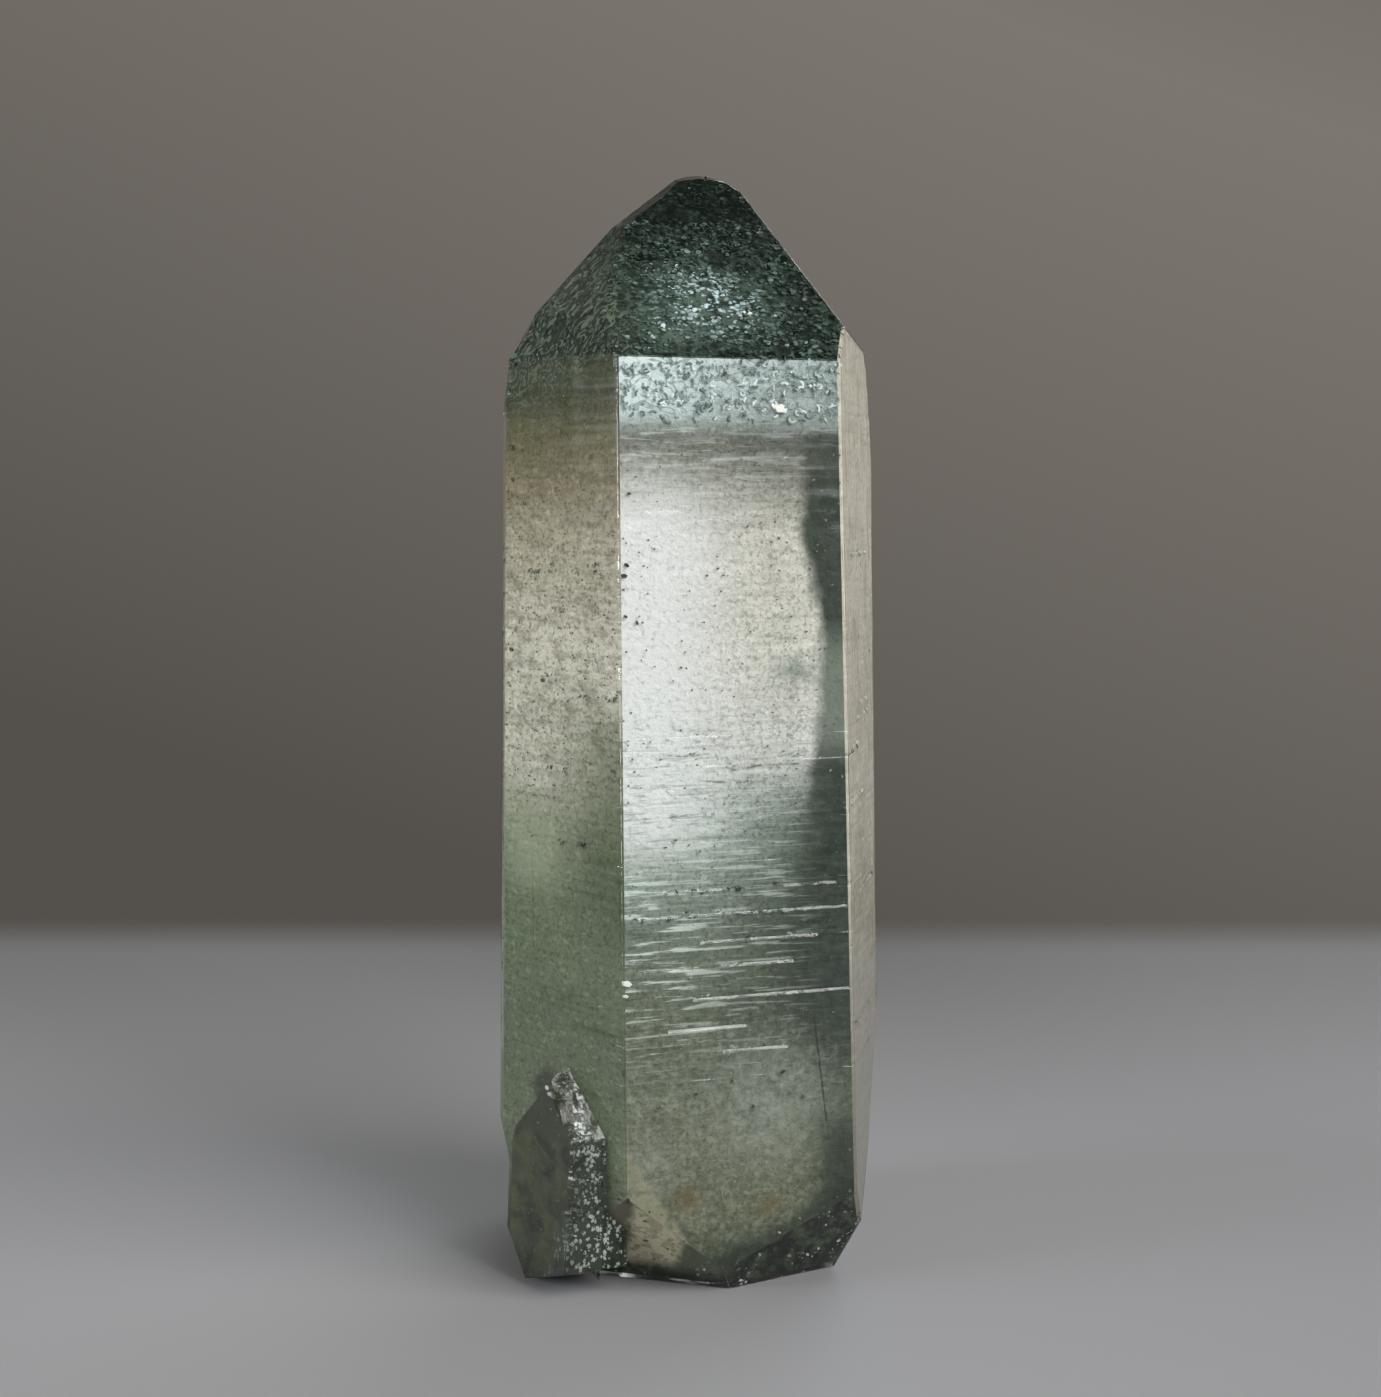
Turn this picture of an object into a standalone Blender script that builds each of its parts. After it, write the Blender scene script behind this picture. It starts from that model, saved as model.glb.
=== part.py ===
"""Phantom quartz crystal: a six-sided point with a broken foot and one small crystal grown onto it.

Frame: metres, +Z runs up the long axis, -Y looks out of the widest prism face, and the origin is on
the surface that the crystal stands on, under the middle of its bounding box.
"""

import math
import random

import bmesh
import bpy
from mathutils import Matrix, Vector

MM = 0.001

# The crystal's own directions: prism faces stand 60 degrees apart around the long axis, and the
# faces of the point slope 51.8 degrees from level, as quartz's rhombohedral faces do.
POINT_SLOPE = 51.8
FRONT, FRONT_RIGHT, BACK_RIGHT, BACK, BACK_LEFT, FRONT_LEFT = 0.0, 60.0, 120.0, 180.0, -120.0, -60.0
MIDDLE = 45.0 * MM

# Prism faces: direction, distance from the long axis half way up, and lean (inward is positive).
PRISM_FACES = (
    (FRONT, 11.8 * MM, 0.0),
    (FRONT_RIGHT, 14.0 * MM, 1.6),
    (BACK_RIGHT, 14.6 * MM, -1.6),
    (BACK, 11.2 * MM, 0.0),
    (BACK_LEFT, 14.3 * MM, 1.4),
    (FRONT_LEFT, 13.9 * MM, -0.3),
)

# Faces of the point: direction, and the height where the face would meet the long axis. The front
# right one is turned a little, as a face built up of fine steps is.
POINT_FACES = (
    (FRONT, 89.7 * MM),
    (FRONT_RIGHT + 5.0, 93.6 * MM),
    (BACK_RIGHT, 93.0 * MM),
    (BACK, 98.0 * MM),
    (BACK_LEFT, 92.3 * MM),
    (FRONT_LEFT, 94.8 * MM),
)

# Steep narrow faces that round the shoulders between prism and point: direction, slope from level,
# and the height and distance from the axis of a point on the face.
SHOULDER_FACES = (
    (-90.0, 66.0, 76.6 * MM, 14.5 * MM),
    (-88.0, 80.0, 72.0 * MM, 15.8 * MM),
    (-60.0, 72.0, 75.4 * MM, 13.9 * MM),
    (88.0, 66.0, 76.0 * MM, 14.5 * MM),
    (92.0, 79.0, 71.0 * MM, 15.8 * MM),
    (150.0, 75.0, 76.0 * MM, 11.5 * MM),
)

# Flat breaks around the foot, given in the same way: over 90 degrees the face looks down.
FOOT_FACES = (
    (-30.0, 117.0, 3.9 * MM, 14.4 * MM),
    (-30.0, 128.0, 1.8 * MM, 13.3 * MM),
    (-30.0, 143.0, 0.9 * MM, 12.7 * MM),
    (45.0, 113.0, 2.4 * MM, 15.7 * MM),
    (45.0, 134.0, 0.4 * MM, 14.7 * MM),
    (90.0, 104.0, 20.0 * MM, 16.4 * MM),
    (90.0, 113.5, 7.5 * MM, 12.9 * MM),
    (-94.0, 101.0, 10.5 * MM, 16.4 * MM),
    (-86.0, 127.0, 6.6 * MM, 15.2 * MM),
)

# The worn tip: rings of flat facets that touch a small ball, each ring with its slope and count.
TIP_CENTRE = Vector((1.1, 3.0, 83.8)) * MM
TIP_RADIUS = 6.7 * MM
TIP_RINGS = ((0.0, 1), (18.0, 8), (33.0, 10))

# Growth lines: shallow grooves along the prism faces.
GROOVE_DEPTH = 0.16 * MM
GROOVE_HEIGHT = 0.42 * MM
FRONT_GROOVES = (
    (33.6, -6.0, 8.5),
    (31.6, -8.0, 9.5),
    (29.4, -3.0, 7.0),
    (27.4, -7.5, 5.0),
    (24.8, -3.5, 9.8),
    (22.4, -5.5, 1.0),
    (20.4, -1.0, 4.5),
    (10.6, -0.5, 5.0),
)
SIDE_GROOVES = 7
GROOVE_SEED = 5

# Shell-shaped chips around the foot and nicks in the edges: centre and radius, in millimetres.
CHIPS = (
    (-20.6, 5.5, -3.0, 9.6),
    (-10.5, 14.8, -2.6, 6.8),
    (0.5, 17.6, -4.6, 8.8),
    (13.6, 12.4, -3.8, 7.6),
    (1.0, -13.7, -0.7, 2.8),
    (4.3, -13.5, -0.9, 3.0),
    (-17.6, 4.6, 5.0, 3.4),
    (18.2, 0.2, 33.0, 1.7),
    (18.1, 0.0, 29.6, 1.6),
    (-18.6, 2.6, 54.5, 2.3),
    (5.2, 14.0, 20.0, 3.4),
)
CHIP_DETAIL = 3

# The small side crystal, grown parallel to the main one on its front left face.
SIDE_PRISM = (
    (FRONT, 9.9 * MM, 0.0),
    (FRONT_RIGHT, 0.0, 0.0),
    (BACK_RIGHT, -2.0 * MM, 0.0),
    (BACK, 2.0 * MM, 0.0),
    (BACK_LEFT, 13.1 * MM, 2.0),
    (FRONT_LEFT, 16.9 * MM, 3.4),
)
SIDE_APEX = Vector((-12.5, -5.9, 18.5)) * MM
SIDE_POINT_RISE = ((FRONT, 0.0), (FRONT_LEFT, 1.3 * MM), (BACK_LEFT, 0.0))
SIDE_FOOT_FACES = ((FRONT, 157.0, 2.5 * MM, 9.9 * MM), (-98.0, 110.0, 4.5 * MM, 16.4 * MM))
SIDE_CLEARANCE = 0.4 * MM
SIDE_CHIPS = (
    (-13.6, -11.6, 9.0, 1.9),
    (-9.8, -12.0, 4.2, 2.4),
    (-17.9, -3.2, 12.4, 1.8),
)

BLANK = 300.0 * MM
SAME_PLACE = 1e-7
TIP_TURN = 10.0
COLOUR = (0.42, 0.46, 0.38, 1.0)
ROUGHNESS = 0.12


def clear_scene():
    for thing in list(bpy.data.objects):
        bpy.data.objects.remove(thing, do_unlink=True)


def outward(direction, slope):
    """Normal of a face that looks in a direction around the axis and slopes from level."""
    turn, rise = math.radians(direction), math.radians(90.0 - slope)
    return Vector((math.sin(turn) * math.cos(rise), -math.cos(turn) * math.cos(rise), math.sin(rise)))


def cut(solid, point, normal):
    """Take off everything outside a plane and close the cut with one flat face."""
    parts = solid.verts[:] + solid.edges[:] + solid.faces[:]
    cut_edges = bmesh.ops.bisect_plane(
        solid, geom=parts, dist=SAME_PLACE, plane_co=point, plane_no=normal, clear_outer=True
    )["geom_cut"]
    rim = [part for part in cut_edges if isinstance(part, bmesh.types.BMEdge)]
    if rim:
        bmesh.ops.contextual_create(solid, geom=rim)


def cut_face(solid, direction, slope, height, distance):
    """Cut along a face through a point at a height and a distance from the axis."""
    point = outward(direction, 90.0) * distance + Vector((0.0, 0.0, height))
    cut(solid, point, outward(direction, slope))


def blank_block():
    solid = bmesh.new()
    bmesh.ops.create_cube(solid, size=BLANK)
    return solid


def object_from(solid, name):
    bmesh.ops.recalc_face_normals(solid, faces=solid.faces[:])
    mesh = bpy.data.meshes.new(name)
    solid.to_mesh(mesh)
    solid.free()
    thing = bpy.data.objects.new(name, mesh)
    bpy.context.collection.objects.link(thing)
    return thing


def main_crystal():
    """The six-sided prism with its point, shoulders and worn tip, flat at the foot."""
    solid = blank_block()
    for direction, distance, lean in PRISM_FACES:
        normal = outward(direction, 90.0 - lean)
        cut(solid, Vector((0.0, 0.0, MIDDLE)) + normal * distance, normal)
    for direction, height in POINT_FACES:
        cut(solid, Vector((0.0, 0.0, height)), outward(direction, POINT_SLOPE))
    for face in SHOULDER_FACES + FOOT_FACES:
        cut_face(solid, *face)
    for slope, count in TIP_RINGS:
        for step in range(count):
            normal = outward(360.0 * step / count + TIP_TURN, slope)
            cut(solid, TIP_CENTRE + normal * TIP_RADIUS, normal)
    cut(solid, Vector((0.0, 0.0, 0.0)), Vector((0.0, 0.0, -1.0)))
    return object_from(solid, "quartz_crystal")


def side_crystal():
    """The small crystal, with its point against the main crystal's front left face."""
    solid = blank_block()
    for direction, distance, lean in SIDE_PRISM:
        normal = outward(direction, 90.0 - lean)
        cut(solid, normal * distance, normal)
    for direction, rise in SIDE_POINT_RISE:
        cut(solid, SIDE_APEX + Vector((0.0, 0.0, rise)), outward(direction, POINT_SLOPE))
    for face in SIDE_FOOT_FACES:
        cut_face(solid, *face)
    cut(solid, Vector((0.0, 0.0, SIDE_CLEARANCE)), Vector((0.0, 0.0, -1.0)))
    return object_from(solid, "side_crystal")


def ball(name, x, y, z, radius):
    solid = bmesh.new()
    bmesh.ops.create_icosphere(solid, subdivisions=CHIP_DETAIL, radius=radius * MM)
    bmesh.ops.translate(solid, verts=solid.verts[:], vec=Vector((x, y, z)) * MM)
    return object_from(solid, name)


def groove(name, direction, distance, lean, height, start, end):
    """A bar with a diamond section that lies along a prism face and cuts a shallow groove."""
    solid = bmesh.new()
    bmesh.ops.create_cone(
        solid, cap_ends=True, segments=4, radius1=0.5, radius2=0.5, depth=1.0
    )
    bmesh.ops.transform(solid, matrix=Matrix.Rotation(math.pi / 2.0, 4, "Y"), verts=solid.verts[:])
    size = Matrix.Diagonal((end - start, 2.0 * GROOVE_DEPTH, GROOVE_HEIGHT, 1.0))
    bmesh.ops.transform(solid, matrix=size, verts=solid.verts[:])
    reach = (distance - math.tan(math.radians(lean)) * (height - MIDDLE)) / math.cos(math.radians(lean))
    place = (
        Matrix.Rotation(math.radians(direction), 4, "Z")
        @ Matrix.Translation(((start + end) / 2.0, -reach, height))
    )
    bmesh.ops.transform(solid, matrix=place, verts=solid.verts[:])
    return object_from(solid, name)


def apply_boolean(target, tool, operation):
    """Join or cut with a tool object, keep the result in the target's mesh and drop the tool."""
    change = target.modifiers.new(operation.lower(), "BOOLEAN")
    change.operation = operation
    change.solver = "EXACT"
    change.object = tool
    shape = bpy.context.evaluated_depsgraph_get()
    mesh = bpy.data.meshes.new_from_object(target.evaluated_get(shape))
    target.modifiers.clear()
    target.data = mesh
    bpy.data.objects.remove(tool, do_unlink=True)


def cut_grooves(target):
    for number, (height, start, end) in enumerate(FRONT_GROOVES):
        direction, distance, lean = PRISM_FACES[0]
        bar = groove(f"front_groove_{number}", direction, distance, lean, height * MM, start * MM, end * MM)
        apply_boolean(target, bar, "DIFFERENCE")
    chance = random.Random(GROOVE_SEED)
    for direction, distance, lean in PRISM_FACES[1:]:
        for number in range(SIDE_GROOVES):
            height = chance.uniform(20.0, 62.0) * MM
            centre = chance.uniform(-3.0, 3.0) * MM
            length = chance.uniform(4.0, 9.0) * MM
            bar = groove(
                f"side_groove_{direction:.0f}_{number}", direction, distance, lean,
                height, centre - length / 2.0, centre + length / 2.0,
            )
            apply_boolean(target, bar, "DIFFERENCE")


def chip(target, chips):
    for number, place in enumerate(chips):
        apply_boolean(target, ball(f"chip_{number}", *place), "DIFFERENCE")


def stand_on_origin(thing):
    """Move the mesh so that the origin is under the middle of its bounding box, at the foot."""
    spots = [corner.co for corner in thing.data.vertices]
    low = Vector([min(spot[axis] for spot in spots) for axis in range(3)])
    high = Vector([max(spot[axis] for spot in spots) for axis in range(3)])
    shift = Vector(((low.x + high.x) / 2.0, (low.y + high.y) / 2.0, low.z))
    thing.data.transform(Matrix.Translation(-shift))


def quartz_material():
    material = bpy.data.materials.new("included_quartz")
    material.use_nodes = True
    surface = material.node_tree.nodes["Principled BSDF"]
    surface.inputs["Base Color"].default_value = COLOUR
    surface.inputs["Roughness"].default_value = ROUGHNESS
    surface.inputs["Metallic"].default_value = 0.0
    return material


def main():
    clear_scene()
    crystal = main_crystal()
    chip(crystal, CHIPS)
    small = side_crystal()
    chip(small, SIDE_CHIPS)
    apply_boolean(crystal, small, "UNION")
    cut_grooves(crystal)
    stand_on_origin(crystal)
    crystal.data.materials.clear()
    crystal.data.materials.append(quartz_material())


main()
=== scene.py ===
import bisect
import math
import random

import bmesh
import bpy
from bpy.props import FloatProperty, FloatVectorProperty, IntProperty, PointerProperty
from mathutils import Matrix, Vector, noise


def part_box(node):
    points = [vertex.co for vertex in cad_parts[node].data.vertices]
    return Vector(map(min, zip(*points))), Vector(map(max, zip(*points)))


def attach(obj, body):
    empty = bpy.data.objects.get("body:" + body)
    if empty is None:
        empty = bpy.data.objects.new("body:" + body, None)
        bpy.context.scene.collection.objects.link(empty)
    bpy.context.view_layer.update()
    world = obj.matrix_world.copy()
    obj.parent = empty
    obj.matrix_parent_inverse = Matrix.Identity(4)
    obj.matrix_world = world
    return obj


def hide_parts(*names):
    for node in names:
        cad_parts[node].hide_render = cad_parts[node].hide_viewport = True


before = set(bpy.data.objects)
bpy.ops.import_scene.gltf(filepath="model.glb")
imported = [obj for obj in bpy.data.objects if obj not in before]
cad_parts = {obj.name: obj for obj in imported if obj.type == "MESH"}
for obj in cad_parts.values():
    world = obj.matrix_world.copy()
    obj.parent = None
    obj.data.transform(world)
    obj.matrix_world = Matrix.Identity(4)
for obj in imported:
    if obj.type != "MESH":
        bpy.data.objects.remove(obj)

bl_info = {
    "name": "Phantom Quartz Crystal",
    "version": (1, 0, 0),
    "blender": (4, 5, 0),
    "location": "3D View > Sidebar > Quartz",
    "description": "Clear quartz grown over a green and white phantom, with its chlorite flakes",
    "category": "Add Mesh",
}

MM = 0.001
NODE = "quartz_crystal"
BODY = "root"

CAD_LOW, CAD_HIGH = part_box(NODE)
HEIGHT = (CAD_HIGH.z - CAD_LOW.z) / MM

# The photograph's view of the crystal, as its long edges and its foot give it: the turn round it from
# straight in front in degrees, the upright axis of that turn, the lens, and the downward pitch in degrees.
VIEW_TURN = -16.0
VIEW_AXIS = Vector((0.01, 0.38, 0.0)) * MM
VIEW_LENS = 46.19
VIEW_PITCH = 6.506

# Directions in which the faces look, in degrees from +X.
FRONT = -90.0
FRONT_LEFT = -150.0
LEFT = 180.0
BACK_LEFT = 150.0
BACK = 90.0
BACK_RIGHT = 30.0
FRONT_RIGHT = -30.0
PRISM = (FRONT, FRONT_LEFT, BACK_LEFT, BACK, BACK_RIGHT, FRONT_RIGHT)

UP = Vector((0.0, 0.0, 1.0))
FORWARD = Vector((0.0, -1.0, 0.0))

# In degrees: how far a prism face may rise and turn from its direction, the rise past which a face belongs
# to the point or the foot, and the rise of the wide faces of the point.
PRISM_RISE = 6.0
PRISM_TURN = 4.0
SLANT_RISE = 9.0
POINT_RISE = 26.0

# The side crystal's top and the worn tip's lower end, above the foot.
SIDE_TOP = 19.0 * MM
TIP_LOW = 86.0 * MM

# The front groove that is faint in the photograph, and the share of it that the skin fills.
FAINT_GROOVE = 10.6 * MM
GROOVE_FILL = 0.75

# Clear quartz over the clouds at the breaks of the foot.
FOOT_DEPTH = 0.1 * MM

# Where the growth ledges lie on the prism, and where they are dense.
LEDGES = (12.0 * MM, 74.0 * MM)
DENSE_LEDGES = (18.0 * MM, 46.0 * MM)

# Broken corners of the foot, taken off the main crystal only, right of CHIP_START: heading and rise of
# the break in degrees, and its distance from the origin.
CHIPS = ((-120.0, -30.0, 7.68 * MM), (-80.1, -20.0, 9.66 * MM))
CHIP_START = -10.2 * MM


def display(red, green, blue):
    """Linear colour from the 0 to 255 values that a screen shows."""
    return tuple(((part / 255.0 + 0.055) / 1.055) ** 2.4 for part in (red, green, blue)) + (1.0,)


# Growth zones inside the crystal: height above the foot in millimetres, and screen values of the colour.
# On the front, the pale blue rows from 70.2 mm up are the chlorite band, made paler by a painted
# reflection.
FRONT_ZONES = (
    (0.0, 46, 56, 44), (3.0, 84, 92, 72), (6.5, 116, 122, 100), (14.0, 131, 137, 119),
    (24.0, 121, 131, 113), (31.0, 140, 153, 139), (35.5, 184, 198, 188), (39.5, 226, 237, 233),
    (44.0, 242, 244, 240), (52.0, 242, 241, 232), (61.0, 230, 228, 218), (64.5, 208, 208, 198),
    (68.6, 140, 144, 136), (70.2, 184, 198, 196), (72.5, 234, 250, 250), (75.0, 242, 255, 255),
)
LEFT_ZONES = (
    (0.0, 56, 64, 48), (5.0, 86, 94, 72), (12.0, 120, 130, 106), (22.0, 109, 121, 96),
    (32.0, 123, 137, 107), (38.0, 168, 175, 148), (43.0, 232, 229, 212), (52.0, 248, 243, 226),
    (60.0, 218, 209, 187), (65.0, 169, 158, 131), (68.5, 130, 124, 93), (72.0, 88, 92, 67),
    (90.0, 30, 42, 34),
)
STRIP_ZONES = (
    (0.0, 112, 110, 98), (6.0, 120, 116, 104), (16.0, 134, 131, 118), (26.0, 166, 162, 149),
    (40.0, 208, 203, 192), (60.0, 219, 214, 201), (84.0, 212, 207, 193),
)
BACK_ZONES = (
    (0.0, 80, 90, 72), (6.0, 136, 134, 116), (22.0, 168, 164, 148), (46.0, 190, 183, 168),
    (66.0, 186, 178, 160), (71.0, 150, 146, 124), (77.0, 92, 98, 80), (88.0, 30, 42, 34),
)
CHLORITE_DARK = display(12, 22, 17)
CHLORITE_MID = display(86, 106, 96)
CHLORITE_OLIVE = display(66, 74, 56)
# The pale blue of the painted highlight on the chlorite under the point.
HIGHLIGHT_BLUE = display(206, 232, 238)
BAND_GREEN = display(46, 57, 50)
BAND_BLUE = display(132, 141, 130)
CLOUD_WHITE = display(170, 176, 168)
IRON_STAIN = display(116, 94, 56)

# Left edge of the dark green band on the front: height, and place across the face, in millimetres.
BAND_EDGE = (
    (0.0, 7.6), (8.0, 7.9), (18.0, 8.6), (24.0, 6.2), (38.0, 6.4), (44.0, 6.9), (48.0, 7.5),
    (55.0, 7.5), (58.0, 6.6), (62.0, 5.8), (66.0, 6.1), (69.5, 6.3),
)
BAND_REACH = 12.0

# Heights of the winding rods in the pale band under the point, in millimetres.
PALE_BAND = (69.9, 74.4)

# Place of the front face and of the marks in it, in millimetres from the axis.
FRONT_FACE = -11.5
MARK_PLACE = -11.32

# Painted highlights under the point's front face, where the chlorite is painted paler as if lit: place
# across, height, the two reaches and the slant.
POINT_HIGHLIGHT = (-0.8, 79.6, 4.4, 3.2, 0.15)
SIDE_HIGHLIGHT = (-4.6, 77.2, 3.6, 2.4, 0.0)

# Thin dark healed cracks across the front face: start, end, height at the start and rise to the end.
CRACKS = (
    (-2.9, 2.6, 42.1, -0.2), (-0.4, 8.2, 43.0, 0.3), (-3.9, 0.4, 45.2, 0.2), (-5.4, -1.2, 44.1, 0.1),
    (-8.0, -2.4, 39.3, 0.2),
)

# The long dark crack low on the front: place across and height of its foot, and its lean.
LONG_CRACK = (8.35, 12.4, 0.1305)

# Rust stains low on the front: centre and radii in millimetres.
STAINS = (
    ((-3.6, -11.3, 8.4), (2.2, 3.0, 1.7)), ((3.0, -11.3, 7.2), (1.9, 3.0, 1.4)),
)

WARM = (1.0, 0.985, 0.965)
COOL = (0.94, 0.98, 1.0)

# Soft lights: name, direction and rise in degrees, distance and size in metres, share of the key light's
# strength, and colour.
LIGHTS = (
    ("key", -46.0, 37.0, 0.5, (0.32, 0.34), 1.0, WARM),
    ("fill", 177.0, 11.0, 0.5, (0.15, 0.15), 0.6, COOL),
    ("back", 42.0, 36.0, 0.6, (0.4, 0.4), 0.5, COOL),
    ("sheen", -72.0, 28.0, 0.45, (0.22, 0.28), 0.2, COOL),
)

# The place on the crystal's axis that the lights are turned to.
LIT_PLACE = Vector((0.0, 0.0, 45.0)) * MM

# The floor's size and middle in metres, and the studio's brightness from below to overhead.
FLOOR_SIZE = (3.0, 1.2, 1.0)
FLOOR_MIDDLE = (0.0, -0.45, 0.0)
STUDIO_SHADES = ((0.0, 0.55), (0.2, 0.80), (0.55, 1.25), (0.95, 0.4))

# Single marks on the front face: place across, height and width in millimetres, and tone, dark to white;
# the white ones, of tone above 1, are painted glints on small chips.
MARKS = (
    (3.9, 70.9, 1.3, 1.6), (3.3, 71.1, 0.6, 1.6), (-8.5, 26.4, 0.9, 1.6), (-8.6, 25.4, 0.5, 1.4),
    (-8.4, 59.0, 0.5, 0.0), (-8.6, 58.2, 0.6, 0.0), (-8.5, 55.1, 0.4, 0.0), (-7.6, 54.6, 0.4, 0.1),
    (-8.2, 64.4, 0.4, 0.2), (0.1, 17.8, 0.4, 0.1), (1.9, 15.6, 0.4, 0.1), (4.4, 18.2, 0.5, 0.0),
    (6.1, 16.0, 0.4, 0.1), (-2.9, 17.0, 0.4, 0.1),
)


class SkinSettings(bpy.types.PropertyGroup):
    """The clear outer quartz."""

    edge: FloatProperty(
        name="Edge", description="Width of the worn strip along the long edges",
        default=0.09 * MM, unit="LENGTH",
    )
    ledge: FloatProperty(
        name="Ledge", description="Depth of the growth ledges across the prism faces",
        default=0.05 * MM, unit="LENGTH",
    )
    grain: FloatProperty(
        name="Grain", description="Height of the small facets on the point and the foot",
        default=0.03 * MM, unit="LENGTH",
    )
    tint: FloatVectorProperty(
        name="Tint", description="Colour of the clear quartz", subtype="COLOR", size=4,
        default=(0.95, 0.985, 0.96, 1.0), min=0.0, max=1.0,
    )


class PhantomSettings(bpy.types.PropertyGroup):
    """The cloudy growth zones under the clear quartz."""

    depth: FloatProperty(
        name="Depth", description="Thickness of clear quartz over the cloudy prism zones",
        default=0.35 * MM, unit="LENGTH",
    )
    point_depth: FloatProperty(
        name="Point depth", description="Thickness of clear quartz over the chlorite under the point",
        default=0.32 * MM, unit="LENGTH",
    )


class FlakeSettings(bpy.types.PropertyGroup):
    """Chlorite flakes, worms and specks."""

    point_count: IntProperty(
        name="Point flakes", description="Number of chlorite flakes under the point faces", default=6500,
    )
    worm_count: IntProperty(
        name="Worms", description="Number of bent chlorite rods in the pale band", default=300,
    )
    speck_count: IntProperty(
        name="Specks", description="Number of specks under the prism faces", default=3000,
    )
    glint_count: IntProperty(
        name="Glints", description="Number of crushed chips on the side crystal and the foot", default=1700,
    )
    size: FloatProperty(
        name="Size", description="Usual width of a chlorite flake", default=0.4 * MM, unit="LENGTH",
    )


class StageSettings(bpy.types.PropertyGroup):
    """Floor, surroundings, lights and camera."""

    floor: FloatVectorProperty(
        name="Floor", description="Colour of the floor", subtype="COLOR", size=4,
        default=display(162, 162, 165), min=0.0, max=1.0,
    )
    surroundings: FloatVectorProperty(
        name="Surroundings", description="Colour of the studio behind the floor", subtype="COLOR", size=4,
        default=display(112, 107, 101), min=0.0, max=1.0,
    )
    key: FloatProperty(name="Key", description="Strength of the soft light on the right", default=2.3)
    camera_distance: FloatProperty(
        name="Camera distance", description="From the crystal's axis to the camera, level",
        default=150.0 * MM, unit="LENGTH",
    )
    camera_height: FloatProperty(
        name="Camera height", description="Camera above the floor", default=64.37 * MM, unit="LENGTH",
    )


class Term:
    """A shader socket that can be used in plain arithmetic."""

    def __init__(self, paint, socket):
        self.paint = paint
        self.socket = socket

    def combine(self, operation, *values):
        return self.paint.node("ShaderNodeMath", {"operation": operation}, dict(enumerate(values)))

    def __add__(self, other):
        return self.combine("ADD", self, other)

    __radd__ = __add__

    def __sub__(self, other):
        return self.combine("SUBTRACT", self, other)

    def __rsub__(self, other):
        return self.combine("SUBTRACT", other, self)

    def __mul__(self, other):
        return self.combine("MULTIPLY", self, other)

    __rmul__ = __mul__

    def __abs__(self):
        return self.combine("ABSOLUTE", self)

    def fraction(self):
        return self.combine("FRACT", self)

    def most(self, other):
        """The larger of this and another."""
        return self.combine("MAXIMUM", self, other)

    def rise(self, low, high):
        """0 below low, 1 above high, and a smooth rise between."""
        settings = {"interpolation_type": "SMOOTHSTEP"}
        sockets = {"Value": self, "From Min": low, "From Max": high}
        return self.paint.node("ShaderNodeMapRange", settings, sockets)

    def fall(self, low, high):
        """1 below low and 0 above high."""
        return 1.0 - self.rise(low, high)

    def between(self, low, full, fading, high):
        """1 from full to fading, and 0 below low and above high."""
        return self.rise(low, full) * self.fall(fading, high)


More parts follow.
